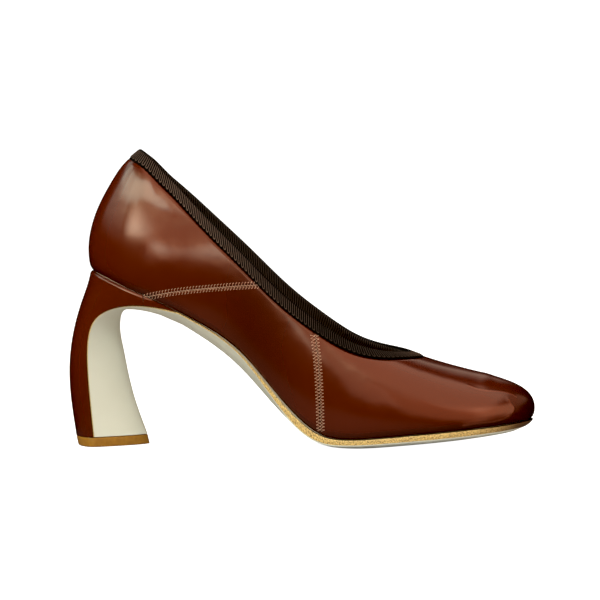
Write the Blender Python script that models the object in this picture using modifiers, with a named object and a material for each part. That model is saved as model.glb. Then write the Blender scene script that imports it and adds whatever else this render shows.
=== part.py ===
"""Closed-toe court pump with a curved heel: one right shoe.

Metres, +X to the toe, -Y to the outer side of the foot, +Z up, the floor at z = 0.
The tables below are in shares of the driving dimensions or in millimetres, as their notes say.
"""
import math
from collections import namedtuple

import bmesh
import bpy
import numpy as np

MM = 0.001

# Driving dimensions of the last, in millimetres
LENGTH = 222.5
MIDDLE = 110.7
BALL_WIDTH = 74.0
HEEL_HEIGHT = 84.0
BACK_HEIGHT = 140.3
INSTEP_HEIGHT = 44.8

# Thicknesses and clearances, in millimetres
WALL = 1.5
GAP = 0.3
BREAST_GAP = 0.45
RIBBON_WIDTH = 6.4
RIBBON_THICKNESS = 0.7
SOLE_LEATHER = 1.3
SOLE_PROUD = 0.5
INSOLE_THICKNESS = 1.4
INSOLE_CLEARANCE = 0.7
TOP_PIECE_HEIGHT = 4.5
TOP_PIECE_SHEAR = 1.0
TOP_PIECE_CORNER = 1.0

# The ribbon's fold: the height of its shoulders as a share of its crest
CREST_SHOULDER = 0.75

# How finely the curved pieces are divided
AROUND = 84
UP_THE_WALL = 10
ACROSS_SOLE = 9
TOE_CUTS = 7
TREAD_CUTS = 14
ARCH_CUTS = 22
BREAST_CUTS = 18
INSOLE_CUTS = 38
ACROSS_INSOLE = 7
HEEL_RINGS = 15
HEEL_BACK_POINTS = 23
SHARP_ANGLE = 35.0

# Steps of the searches along the last's curves
PLAN_SAMPLES = 600
WALL_SAMPLES = 61
LOWEST_RIBBON_SHARE = 0.4
NEAR_TOP = 0.999

# A section of the last: where it stands on the feather edge, where it ends on the top edge, and how
# its wall leaves both. Shares: along of LENGTH, half widths of half BALL_WIDTH. Bearings are degrees
# from the toe direction, leans are degrees from upright, reaches are millimetres.
Section = namedtuple(
    "Section",
    "name along outer inner low_bearing low_lean low_reach top_along top_half top_bearing top_lean top_reach",
)
SECTIONS = [
    Section("back", 0.045, 0.000, 0.000, 180, 17, 20.7, 0.149, 0.000, 180, 51, 19.5),
    Section("heel corner", 0.070, 0.432, 0.432, 130, 13, 20.0, 0.165, 0.225, 130, 42, 17.5),
    Section("heel side", 0.139, 0.676, 0.676, 98, 12, 19.0, 0.216, 0.375, 100, 31, 18.0),
    Section("seat front", 0.238, 0.635, 0.630, 90, 13, 16.0, 0.297, 0.535, 92, 16, 15.0),
    Section("waist", 0.351, 0.562, 0.541, 86, 24, 13.0, 0.393, 0.635, 88, 8, 13.0),
    Section("arch", 0.467, 0.730, 0.690, 82, 26, 14.0, 0.483, 0.716, 84, 12, 15.0),
    Section("ball", 0.602, 0.968, 0.945, 84, 16, 14.0, 0.573, 0.746, 78, 33, 15.0),
    Section("vamp side", 0.737, 1.000, 1.010, 78, 14, 12.5, 0.652, 0.681, 62, 52, 15.0),
    Section("toe side", 0.858, 0.865, 0.895, 64, 14, 11.5, 0.701, 0.492, 36, 66, 17.5),
    Section("toe corner", 0.948, 0.568, 0.615, 34, 16, 15.5, 0.726, 0.259, 14, 69, 27.0),
    Section("toe", 0.995, -0.030, -0.030, 0, 17, 20.8, 0.735, 0.000, 0, 69, 34.0),
]

# Height of the feather edge: along as a share of LENGTH, height as a share of HEEL_HEIGHT
FeatherRow = namedtuple("FeatherRow", "along height")
FEATHER_LINE = [
    FeatherRow(0.045, 1.000),
    FeatherRow(0.090, 0.958),
    FeatherRow(0.142, 0.897),
    FeatherRow(0.193, 0.842),
    FeatherRow(0.240, 0.779),
    FeatherRow(0.292, 0.703),
    FeatherRow(0.335, 0.631),
    FeatherRow(0.379, 0.535),
    FeatherRow(0.423, 0.409),
    FeatherRow(0.468, 0.274),
    FeatherRow(0.513, 0.160),
    FeatherRow(0.557, 0.091),
    FeatherRow(0.602, 0.073),
    FeatherRow(0.694, 0.088),
    FeatherRow(0.843, 0.124),
    FeatherRow(0.995, 0.162),
]

# Height of the top edge: along as a share of LENGTH, rise as a share of the way from instep to back
TopRow = namedtuple("TopRow", "along rise")
TOP_LINE = [
    TopRow(0.149, 1.000),
    TopRow(0.165, 0.986),
    TopRow(0.206, 0.900),
    TopRow(0.229, 0.850),
    TopRow(0.293, 0.699),
    TopRow(0.383, 0.494),
    TopRow(0.456, 0.327),
    TopRow(0.548, 0.159),
    TopRow(0.610, 0.069),
    TopRow(0.673, 0.022),
    TopRow(0.705, 0.010),
    TopRow(0.737, 0.000),
]

# Form of the sole under the foot. along: share of LENGTH. edge: thickness of the cut edge, keel: depth
# of the middle below the feather edge, both in millimetres. hollow: share of the keel that the upper
# face follows. fullness: exponent of the curve across, higher is flatter in the middle.
SoleRow = namedtuple("SoleRow", "along edge keel hollow fullness")
SOLE_FORM = [
    SoleRow(0.245, 1.0, 7.5, 0.10, 2.0),
    SoleRow(0.320, 1.0, 8.9, 0.25, 2.0),
    SoleRow(0.380, 1.3, 10.1, 0.30, 2.0),
    SoleRow(0.440, 3.2, 9.9, 0.30, 2.0),
    SoleRow(0.500, 4.9, 7.8, 0.18, 2.0),
    SoleRow(0.565, 3.6, 6.7, 0.00, 2.1),
    SoleRow(0.650, 3.0, 7.0, 0.00, 2.1),
    SoleRow(0.760, 3.3, 7.1, 0.00, 2.2),
    SoleRow(0.900, 3.2, 6.0, 0.00, 2.3),
    SoleRow(0.995, 3.0, 4.2, 0.00, 2.6),
]

# The sole's way under the heel's wedge, round the bend and down the breast, in millimetres from the
# back of the heel and from the floor: its side edge, its middle ridge and its half width
BreastRow = namedtuple("BreastRow", "name edge_x edge_z ridge_x ridge_z half_width fullness")
BREAST = [
    BreastRow("wedge", 44.0, 67.3, 44.2, 61.9, 24.2, 2.0),
    BreastRow("crown", 34.9, 68.1, 36.5, 64.0, 24.3, 2.0),
    BreastRow("bend top", 26.5, 67.2, 29.4, 64.8, 23.0, 1.9),
    BreastRow("bend", 19.0, 64.4, 25.4, 64.0, 21.7, 1.8),
    BreastRow("bend low", 13.9, 60.3, 23.9, 61.0, 20.3, 1.7),
    BreastRow("neck", 11.3, 54.5, 23.6, 55.0, 19.8, 1.65),
    BreastRow("high", 10.2, 46.5, 25.0, 47.0, 19.3, 1.6),
    BreastRow("middle", 10.4, 35.0, 27.4, 35.0, 19.3, 1.55),
    BreastRow("low", 11.7, 20.0, 31.3, 20.0, 19.8, 1.5),
    BreastRow("foot", 13.3, 4.8, 36.8, 4.8, 20.4, 1.5),
]
SOLE_BACK = SOLE_FORM[0].along * LENGTH
TOE_TIP = SECTIONS[-1].along * LENGTH
TOE_DEPTH = 16.0
TOE_TURN = (0.05, 0.45)
FULL_DOME_WIDTH = 36.0
ARCH_FRONT = 0.58
BREAST_EDGE = 1.0
INSOLE_TURN = (0.06, 0.94)

# Rings of the heel, from the seat's own outline: height and place of the back in millimetres, stretch
# of the outline along the shoe, width as a share of the seat's, and how far the ring follows the slope
# of the seat
HeelRow = namedtuple("HeelRow", "height back stretch width slope")
HEEL_FORM = [
    HeelRow(4.8, 2.6, 0.45, 0.825, 0.00),
    HeelRow(20.0, 0.3, 0.45, 0.800, 0.00),
    HeelRow(36.0, -0.7, 0.46, 0.785, 0.05),
    HeelRow(50.0, 0.5, 0.52, 0.790, 0.25),
    HeelRow(61.0, 2.9, 0.66, 0.835, 0.55),
    HeelRow(69.0, 5.4, 0.85, 0.920, 0.80),
    HeelRow(78.0, 8.3, 0.97, 0.985, 0.97),
    HeelRow(90.0, 9.9, 1.00, 1.000, 1.00),
]
SEAT_BACK = SECTIONS[0].along * LENGTH
SEAT_TURN = 0.25
WEDGE_FRONT = 50.0
WEDGE_MARGIN = 1.0

# The two hidden solids that cut the heel, in millimetres
CUTTER_HALF_WIDTH = 45.0
CUTTER_MARGIN = 5.0
CUTTER_TOP = 110.0
CUTTER_CUTS = 14
CUTTER_START = (6.0, 0.0, -3.0)
CUTTER_END = (0.6, 0.0, -6.0)
CUTTER_HUB = (70.0, -10.0)
CUTTER_HUB_SHARE = 0.95

# Plain surface of each piece, with linear colours
Finish = namedtuple("Finish", "name colour roughness")
UPPER_FINISH = Finish("brown_leather", (0.165, 0.030, 0.012), 0.25)
BINDING_FINISH = Finish("dark_ribbon", (0.022, 0.014, 0.010), 0.80)
INSOLE_FINISH = Finish("beige_lining", (0.48, 0.34, 0.22), 0.60)
OUTSOLE_FINISH = Finish("cream_sole_leather", (0.62, 0.56, 0.43), 0.50)
HEEL_FINISH = Finish("brown_heel_cover", (0.165, 0.030, 0.012), 0.28)
TOP_PIECE_FINISH = Finish("tan_top_piece", (0.40, 0.21, 0.05), 0.45)


class Spline:
    """Smooth curve through rows of values at rising knots, open or closed."""

    def __init__(self, knots, values, period=None):
        self.knots = np.asarray(knots, float)
        self.values = np.asarray(values, float).reshape(len(self.knots), -1)
        self.period = period
        if period is not None:
            self.knots = np.append(self.knots, self.knots[0] + period)
            self.values = np.vstack([self.values, self.values[:1]])
        self.bends = self.solve_bends()

    def solve_bends(self):
        """Second derivatives at the knots, which make the curve run on without a break."""
        steps = np.diff(self.knots)
        slopes = np.diff(self.values, axis=0) / steps[:, None]
        count = len(steps) if self.period is not None else len(self.knots)
        matrix = np.eye(count)
        right = np.zeros((count, self.values.shape[1]))
        first = 0 if self.period is not None else 1
        last = count if self.period is not None else count - 1
        for i in range(first, last):
            before = steps[i - 1]
            after = steps[i]
            matrix[i, i] = 2.0 * (before + after)
            matrix[i, (i - 1) % count] = before
            matrix[i, (i + 1) % count] = after
            right[i] = 6.0 * (slopes[i] - slopes[i - 1])
        bends = np.linalg.solve(matrix, right)
        return np.vstack([bends, bends[:1]]) if self.period is not None else bends

    def __call__(self, at):
        """Rows of values at the places asked for."""
        at = np.atleast_1d(np.asarray(at, float))
        if self.period is not None:
            at = (at - self.knots[0]) % self.period + self.knots[0]
        i = np.clip(np.searchsorted(self.knots, at, side="right") - 1, 0, len(self.knots) - 2)
        step = (self.knots[i + 1] - self.knots[i])[:, None]
        right = (at - self.knots[i])[:, None] / step
        left = 1.0 - right
        straight = left * self.values[i] + right * self.values[i + 1]
        bow = (left**3 - left) * self.bends[i] + (right**3 - right) * self.bends[i + 1]
        return straight + bow * step**2 / 6.0


def table_spline(rows):
    """Spline through a table whose first column is the knot, a share of LENGTH."""
    table = np.array(rows, float)
    return Spline(table[:, 0] * LENGTH, table[:, 1:])


FEATHER_CURVE = table_spline(FEATHER_LINE)
TOP_CURVE = table_spline(TOP_LINE)
SOLE_CURVE = table_spline(SOLE_FORM)


def feather_height(x):
    """Height of the feather edge at places along the shoe."""
    return FEATHER_CURVE(x)[:, 0] * HEEL_HEIGHT


def top_height(x):
    """Height of the top edge at places along the shoe."""
    return INSTEP_HEIGHT + TOP_CURVE(x)[:, 0] * (BACK_HEIGHT - INSTEP_HEIGHT)


def handle(bearing, lean, reach, side, up):
    """Vector that leaves an edge of the upper on a bearing, leaning outwards."""
    flat = math.sin(math.radians(lean)) * reach
    turn = math.radians(bearing)
    return [flat * math.cos(turn), side * flat * math.sin(turn), up * math.cos(math.radians(lean)) * reach]


def section_row(section, side):
    """Feather point, top point and the two handles of one section, on one side of the shoe."""
    half = BALL_WIDTH / 2.0
    width = section.outer if side < 0 else section.inner
    feather = [section.along * LENGTH, side * width * half]
    top = [section.top_along * LENGTH, side * section.top_half * half]
    low = handle(section.low_bearing, section.low_lean, section.low_reach, side, 1.0)
    high = handle(section.top_bearing, section.top_lean, section.top_reach, side, -1.0)
    return feather + top + low + high


class Last:
    """The skin of the last: u runs round the shoe from the back, v from feather edge to top edge."""

    def __init__(self):
        outer = [section_row(s, -1) for s in SECTIONS]
        inner = [section_row(s, 1) for s in reversed(SECTIONS[1:-1])]
        rows = np.array(outer + inner)
        middles = (rows[:, 0:2] + rows[:, 2:4]) / 2.0
        steps = np.linalg.norm(np.diff(np.vstack([middles, middles[:1]]), axis=0), axis=1)
        self.period = float(steps.sum())
        self.toe = float(steps[: len(SECTIONS) - 1].sum())
        self.curve = Spline(np.append(0.0, np.cumsum(steps)[:-1]), rows, self.period)

    def controls(self, u):
        """The four points that each wall curve is drawn from."""
        row = self.curve(u)
        feather = np.column_stack([row[:, 0:2], feather_height(row[:, 0])])
        top = np.column_stack([row[:, 2:4], top_height(row[:, 2])])
        return feather, feather + row[:, 4:7], top + row[:, 7:10], top

    def point(self, u, v):
        """Places on the skin."""
        feather, low, high, top = self.controls(u)
        v = np.broadcast_to(np.asarray(v, float), np.shape(u))[:, None]
        w = 1.0 - v
        return w**3 * feather + 3.0 * w * w * v * low + 3.0 * w * v * v * high + v**3 * top

    def normal(self, u, v):
        """Outward directions of the skin."""
        reach = 0.001
        along = self.point(u + reach, v) - self.point(u - reach, v)
        up = self.point(u, v + reach) - self.point(u, v - reach)
        normal = np.cross(along, up)
        return normal / np.linalg.norm(normal, axis=1)[:, None]

    def share_at_depth(self, u, depth):
        """Value of v that lies a depth below the top edge, measured along the wall."""
        shares = np.linspace(1.0, LOWEST_RIBBON_SHARE, WALL_SAMPLES)
        result = np.empty(len(u))
        for i, place in enumerate(u):
            line = self.point(np.full(len(shares), place), shares)
            run = np.append(0.0, np.cumsum(np.linalg.norm(np.diff(line, axis=0), axis=1)))
            result[i] = np.interp(depth, run, shares)
        return result

    def plan(self, u, inset=0.0):
        """Feather edge from above, drawn in by an inset."""
        reach = 0.01
        along = (self.curve(u + reach) - self.curve(u - reach))[:, 0:2]
        along /= np.linalg.norm(along, axis=1)[:, None]
        inward = np.column_stack([-along[:, 1], along[:, 0]])
        return self.curve(u)[:, 0:2] + inset * inward

    def half_widths(self, x, inset=0.0):
        """Half widths of the feather edge at places along the shoe, outer side and inner side."""
        outer = self.plan(np.linspace(0.0, self.toe, PLAN_SAMPLES), inset)
        inner = self.plan(np.linspace(self.period, self.toe, PLAN_SAMPLES), inset)
        return np.interp(x, outer[:, 0], -outer[:, 1]), np.interp(x, inner[:, 0], inner[:, 1])


LAST = Last()
ROUND = np.arange(AROUND) * LAST.period / AROUND


def finish_mesh(name, points, faces, material, collection, closed=True):
    """Object from points in millimetres, with outward faces and smooth shading."""
    mesh = bpy.data.meshes.new(name)
    mesh.from_pydata([tuple(p) for p in np.asarray(points) * MM], [], faces)
    if closed:
        work = bmesh.new()
        work.from_mesh(mesh)
        bmesh.ops.recalc_face_normals(work, faces=work.faces)
        work.to_mesh(mesh)
        work.free()
    mesh.shade_smooth()
    mesh.set_sharp_from_angle(angle=math.radians(SHARP_ANGLE))
    if material is not None:
        mesh.materials.append(material)
    item = bpy.data.objects.new(name, mesh)
    collection.objects.link(item)
    return item


def grid_faces(rings, count, wrap_rings, wrap_count):
    """Four-sided faces between neighbouring rings of points."""
    faces = []
    for i in range(rings if wrap_rings else rings - 1):
        here = i * count
        there = (i + 1) % rings * count
        for j in range(count if wrap_count else count - 1):
            k = (j + 1) % count
            faces.append((here + j, there + j, there + k, here + k))
    return faces


def loft(name, rings, material, collection):
    """Closed solid through rings of points, with fixed diagonals and a cap on both ends."""
    rings = np.asarray(rings)
    count = rings.shape[1]
    faces = []
    for a, b, c, d in grid_faces(len(rings), count, False, True):
        faces += [(a, b, c), (a, c, d)]
    faces.append(tuple(range(count)))
    faces.append(tuple((len(rings) - 1) * count + j for j in range(count)))
    return finish_mesh(name, rings.reshape(-1, 3), faces, material, collection)


def make_upper(material, collection):
    """Hollow leather wall of the last, open at the collar and underneath."""
    shares = np.linspace(0.0, 1.0, UP_THE_WALL + 1)
    rings = np.stack([LAST.point(ROUND, v) for v in shares], axis=1)
    faces = grid_faces(AROUND, len(shares), True, False)
    upper = finish_mesh("upper", rings.reshape(-1, 3), faces, material, collection, closed=False)
    wall = upper.modifiers.new("wall", "SOLIDIFY")
    wall.thickness = WALL * MM
    wall.offset = -1.0
    wall.use_even_offset = True
    wall.use_quality_normals = True
    return upper


def make_binding(material, collection):
    """Ribbon folded over the top edge, a leg outside and a leg inside."""
    inside = -(WALL + GAP)
    skin = GAP + RIBBON_THICKNESS
    shoulder = CREST_SHOULDER * skin
    shares = [LAST.share_at_depth(ROUND, depth) for depth in (RIBBON_WIDTH, RIBBON_WIDTH / 2.0, 0.0)]
    crown_point = LAST.point(ROUND, 1.0)
    crown_normal = LAST.normal(ROUND, NEAR_TOP)
    upward = crown_point - LAST.point(ROUND, NEAR_TOP)
    upward /= np.linalg.norm(upward, axis=1)[:, None]

    def leg(offset):
        """Rings down one face of a leg, from its hem to the top edge."""
        return [LAST.point(ROUND, v) + offset * LAST.normal(ROUND, np.minimum(v, NEAR_TOP)) for v in shares]

    def crest(offset, rise):
        """Ring over the top edge."""
        return crown_point + offset * crown_normal + rise * upward

    rings = leg(skin)
    rings += [crest(GAP, shoulder), crest(-WALL / 2.0, skin), crest(inside, shoulder)]
    rings += leg(inside - RIBBON_THICKNESS)[::-1]
    rings += leg(inside)[:2]
    rings += [crest(inside, GAP), crest(GAP, GAP)]
    rings += leg(GAP)[1::-1]
    points = np.stack(rings, axis=1)
    faces = grid_faces(AROUND, len(rings), True, True)
    return finish_mesh("collar_binding", points.reshape(-1, 3), faces, material, collection)


def sole_section(edge, ridge, clearance, edge_thickness, hollow, fullness, outer, inner):
    """Closed ring across the sole: its upper face from outer to inner side, then its lower face back."""
    across = np.sin(np.linspace(-0.5, 0.5, ACROSS_SOLE) * math.pi)
    bell = 1.0 - np.abs(across) ** fullness
    y = np.where(across < 0.0, across * outer, across * inner)
    depth = np.linalg.norm(ridge - edge)
    down = (ridge - edge) / depth
    upper = edge + np.outer(clearance + bell * hollow * depth, down)
    lower = edge + np.outer(edge_thickness + bell * (depth - edge_thickness), down)
    top = np.column_stack([upper[:, 0], y, upper[:, 1]])
    bottom = np.column_stack([lower[:, 0], y, lower[:, 1]])
    return np.vstack([top, bottom[::-1]])


def foot_places():
    """Places along the shoe where the sole is cut across, closer together at the toe and the arch."""
    tip = TOE_TIP + SOLE_PROUD
    toe = tip - TOE_DEPTH * (1.0 - np.cos(np.linspace(*TOE_TURN, TOE_CUTS) * math.pi))
    tread = np.linspace(tip - TOE_DEPTH, ARCH_FRONT * LENGTH, TREAD_CUTS)
    arch = np.linspace(ARCH_FRONT * LENGTH, SOLE_BACK, ARCH_CUTS)[1:]
    return np.concatenate([toe, tread, arch])


def foot_sections(clearance):
    """Sections of the sole under the foot, from the toe to the front of the seat."""
    sections = []
    for x in foot_places():
        edge_thickness, keel, hollow, fullness = SOLE_CURVE(x)[0]
        outer, inner = LAST.half_widths(x, -SOLE_PROUD)
        keel = edge_thickness + (keel - edge_thickness) * min(1.0, (outer + inner) / FULL_DOME_WIDTH)
        edge = np.array([x, feather_height(x)[0]])
        ridge = edge - [0.0, keel]
        sections.append(sole_section(edge, ridge, clearance, edge_thickness, max(hollow, 0.0), fullness,
                                     outer, inner))
    return sections


def breast_curve():
    """Spline down the breast rows, by distance along the side edge."""
    table = np.array([row[1:] for row in BREAST])
    run = np.append(0.0, np.cumsum(np.linalg.norm(np.diff(table[:, 0:2], axis=0), axis=1)))
    return Spline(run, table), run[-1]


def breast_sections(clearance):
    """Sections of the sole from the wedge down to the foot of the heel."""
    curve, length = breast_curve()
    sections = []
    for row in curve(np.linspace(0.0, length, BREAST_CUTS)):
        edge = row[0:2]
        ridge = row[2:4]
        depth = np.linalg.norm(ridge - edge)
        hollow = (depth - SOLE_LEATHER) / depth
        sections.append(sole_section(edge, ridge, clearance, BREAST_EDGE, hollow, row[5], row[4], row[4]))
    return sections


def make_outsole(material, collection):
    """Leather sole from the toe to the heel's foot, flat where the tread meets the floor."""
    rings = np.array(foot_sections(GAP) + breast_sections(BREAST_GAP))
    rings[:, :, 2] = np.maximum(rings[:, :, 2], 0.0)
    return loft("outsole", rings, material, collection)


def make_insole(material, collection):
    """Thin board on the sole and the seat, clear of the wall all round."""
    inset = WALL + INSOLE_CLEARANCE
    back = SEAT_BACK + inset
    front = TOE_TIP - inset
    turn = np.linspace(*INSOLE_TURN, INSOLE_CUTS) * math.pi
    places = back + (front - back) * (1.0 - np.cos(turn)) / 2.0
    across = np.sin(np.linspace(-0.5, 0.5, ACROSS_INSOLE) * math.pi)
    rings = []
    for x in places:
        outer, inner = LAST.half_widths(x, inset)
        y = np.where(across < 0.0, across * outer, across * inner)
        keel, hollow = SOLE_CURVE(max(x, SOLE_BACK))[0][1:3]
        sink = keel * max(hollow, 0.0) if x > SOLE_BACK else 0.0
        height = feather_height(x)[0] - sink * (1.0 - across**2)
        low = np.column_stack([np.full(len(y), x), y, height])
        rings.append(np.vstack([low, low[::-1] + [0.0, 0.0, INSOLE_THICKNESS]]))
    return loft("insole", rings, material, collection)


def seat_outline():
    """Plan of the feather edge round the seat, from the inner wedge front to the outer one."""
    u = np.linspace(-SEAT_TURN, SEAT_TURN, PLAN_SAMPLES) * LAST.period
    plan = LAST.curve(u)[:, 0:2]
    plan = plan[plan[:, 0] <= WEDGE_FRONT]
    run = np.append(0.0, np.cumsum(np.linalg.norm(np.diff(plan, axis=0), axis=1)))
    even = np.linspace(0.0, run[-1], HEEL_BACK_POINTS)
    return np.column_stack([np.interp(even, run, plan[:, 0]), np.interp(even, run, plan[:, 1])])


def heel_ring(outline, height, back, stretch, width, slope):
    """One ring of the heel: the seat's outline drawn in, then straight sides to the front."""
    x = back + (outline[:, 0] - outline[:, 0].min()) * stretch
    y = outline[:, 1] * width
    front = [[WEDGE_FRONT + WEDGE_MARGIN, y[-1]], [WEDGE_FRONT + WEDGE_MARGIN, y[0]]]
    plan = np.vstack([np.column_stack([x, y]), front])
    fall = feather_height(np.maximum(plan[:, 0], SEAT_BACK)) - HEEL_HEIGHT
    return np.column_stack([plan, height + slope * fall])


def heel_rings():
    """Rings of the uncut heel, from its foot to above the seat."""
    table = np.array(HEEL_FORM)
    curve = Spline(table[:, 0], table[:, 1:])
    outline = seat_outline()
    heights = np.linspace(table[0, 0], table[-1, 0], HEEL_RINGS)
    return [heel_ring(outline, z, *curve(z)[0]) for z in heights]


def seat_cutter(collection):
    """Everything above the seat, with the clearance of the upper."""
    x = np.linspace(-CUTTER_MARGIN, WEDGE_FRONT + CUTTER_MARGIN, CUTTER_CUTS)
    height = feather_height(np.maximum(x, SEAT_BACK)) - GAP
    profile = np.vstack([np.column_stack([x, height]), [[x[-1], CUTTER_TOP], [x[0], CUTTER_TOP]]])
    rings = [np.column_stack([profile[:, 0], np.full(len(profile), y), profile[:, 1]])
             for y in (-CUTTER_HALF_WIDTH, CUTTER_HALF_WIDTH)]
    return hide(loft("seat_cutter", rings, None, collection))


def arch_cutter(collection):
    """The hollow in front of the breast and under the wedge, with the clearance of the sole."""
    upper = [np.array(ring[:ACROSS_SOLE]) for ring in [foot_sections(0.0)[-1]] + breast_sections(0.0)]
    first = upper[0] + CUTTER_START
    last = upper[-1] + CUTTER_END
    rings = []
    for face in [first] + upper + [last]:
        side = [[face[0, 0], -CUTTER_HALF_WIDTH, face[0, 2]], [face[-1, 0], CUTTER_HALF_WIDTH, face[-1, 2]]]
        front = np.vstack([side[:1], face, side[1:]])
        hub = front[[-1, 0]].copy()
        for column, target in ((0, CUTTER_HUB[0]), (2, CUTTER_HUB[1])):
            hub[:, column] += (target - hub[:, column]) * CUTTER_HUB_SHARE
        rings.append(np.vstack([front, hub]))
    return hide(loft("arch_cutter", rings, None, collection))


def hide(cutter):
    """Keeps a cutter out of renders."""
    cutter.hide_render = True
    cutter.display_type = "WIRE"
    return cutter


def make_heel(material, collection, cutters):
    """Curved heel: a block of rings, cut to the seat above and to the sole in front."""
    heel = loft("heel", heel_rings(), material, collection)
    for cutter in (seat_cutter(cutters), arch_cutter(cutters)):
        cut = heel.modifiers.new(cutter.name, "BOOLEAN")
        cut.operation = "DIFFERENCE"
        cut.solver = "EXACT"
        cut.object = cutter
    return heel


def make_top_piece(material, collection):
    """Walking piece under the heel: the heel's back and the sole's prow in one outline."""
    foot = BREAST[-1]
    back = np.array(heel_rings()[0])[:-2, 0:2]
    back = back[back[:, 0] < foot.edge_x - TOP_PIECE_CORNER]
    prow = breast_sections(BREAST_GAP)[-1][ACROSS_SOLE:, 0:2]
    plan = np.vstack([back, prow[::-1]])
    rings = []
    for height, shift in ((TOP_PIECE_HEIGHT, 0.0), (0.0, TOP_PIECE_SHEAR)):
        rings.append(np.column_stack([plan[:, 0] + shift, plan[:, 1], np.full(len(plan), height)]))
    return loft("top_piece", rings, material, collection)


def make_material(finish):
    """Plain surface of one piece."""
    material = bpy.data.materials.new(finish.name)
    material.use_nodes = True
    shader = material.node_tree.nodes["Principled BSDF"]
    shader.inputs["Base Color"].default_value = (*finish.colour, 1.0)
    shader.inputs["Roughness"].default_value = finish.roughness
    shader.inputs["Metallic"].default_value = 0.0
    return material


def make_collection(name):
    """Collection of its own under the scene's."""
    collection = bpy.data.collections.new(name)
    bpy.context.scene.collection.children.link(collection)
    return collection


def main():
    """Clears the scene and builds the six pieces on a stand over the middle of the shoe."""
    for item in list(bpy.data.objects):
        bpy.data.objects.remove(item, do_unlink=True)
    parts = make_collection("court_pump")
    cutters = make_collection("cutters")
    stand = bpy.data.objects.new("stand", None)
    stand.location = (-MIDDLE * MM, 0.0, 0.0)
    parts.objects.link(stand)
    pieces = [
        make_upper(make_material(UPPER_FINISH), parts),
        make_binding(make_material(BINDING_FINISH), parts),
        make_insole(make_material(INSOLE_FINISH), parts),
        make_outsole(make_material(OUTSOLE_FINISH), parts),
        make_heel(make_material(HEEL_FINISH), parts, cutters),
        make_top_piece(make_material(TOP_PIECE_FINISH), parts),
    ]
    for piece in pieces + list(cutters.objects):
        piece.parent = stand


main()
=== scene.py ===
"""Looks of the closed-toe court pump: glossy brown leather, ribbed ribbon, sewn seams, sole and heel.

Sizes are millimetres from the back of the heel and from the floor, as a last maker measures them,
unless a note says metres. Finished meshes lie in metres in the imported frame.
"""
from __future__ import annotations

import functools
import logging
import math
from collections.abc import Callable
from dataclasses import dataclass, field
from enum import Enum
from typing import NamedTuple

import bpy
import numpy as np
from bpy.types import Material, Node, NodeOutputs, NodeSocket, NodeTree, Object
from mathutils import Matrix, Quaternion, Vector

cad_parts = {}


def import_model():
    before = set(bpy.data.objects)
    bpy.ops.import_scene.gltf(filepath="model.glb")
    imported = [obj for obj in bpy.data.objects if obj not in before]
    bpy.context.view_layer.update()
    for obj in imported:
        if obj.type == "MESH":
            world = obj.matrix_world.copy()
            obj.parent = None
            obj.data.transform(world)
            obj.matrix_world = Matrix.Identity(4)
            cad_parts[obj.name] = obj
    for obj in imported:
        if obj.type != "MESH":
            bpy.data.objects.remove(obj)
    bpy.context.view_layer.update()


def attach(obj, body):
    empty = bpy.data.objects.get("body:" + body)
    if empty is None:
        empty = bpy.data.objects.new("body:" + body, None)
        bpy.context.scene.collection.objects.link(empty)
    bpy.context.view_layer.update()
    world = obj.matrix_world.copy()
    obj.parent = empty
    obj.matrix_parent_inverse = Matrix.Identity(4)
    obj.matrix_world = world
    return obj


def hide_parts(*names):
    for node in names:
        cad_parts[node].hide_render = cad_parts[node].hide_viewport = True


LOG = logging.getLogger("court_pump")
BODY = "root"
MM = 0.001
MIDDLE = 110.7
MERGE_METRES = 2e-6
WALL = 1.5
RIBBON_WIDTH = 6.4
SEAT_GAP = 0.3
BREAST_GAP = 0.45

Array = np.ndarray
Colour = tuple[float, float, float]


class Side(Enum):
    """The two sides of a right shoe, by the sign of their y."""

    OUTER = -1
    INNER = 1


class Section(NamedTuple):
    """A section of the last: its ends on the feather and top edges, and how its wall leaves them.

    Places along are shares of the length and half widths shares of half the ball width. Bearings are
    degrees from the toe direction, leans degrees from upright, reaches millimetres.
    """

    along: float
    outer: float
    inner: float
    low_bearing: float
    low_lean: float
    low_reach: float
    top_along: float
    top_half: float
    top_bearing: float
    top_lean: float
    top_reach: float


class EdgeRow(NamedTuple):
    """Height of an edge of the upper: both columns are shares of a driving size."""

    along: float
    height: float


class SoleRow(NamedTuple):
    """Form of the sole at a share of the length: edge and keel in millimetres, curve across."""

    along: float
    edge: float
    keel: float
    hollow: float
    fullness: float


class BreastRow(NamedTuple):
    """The sole on its way down the heel's breast, in millimetres."""

    edge_x: float
    edge_z: float
    ridge_x: float
    ridge_z: float
    half_width: float
    fullness: float


class HeelRow(NamedTuple):
    """A ring of the heel: height, place of its back, and shares of the seat's outline and slope."""

    height: float
    back: float
    stretch: float
    width: float
    slope: float


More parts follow.
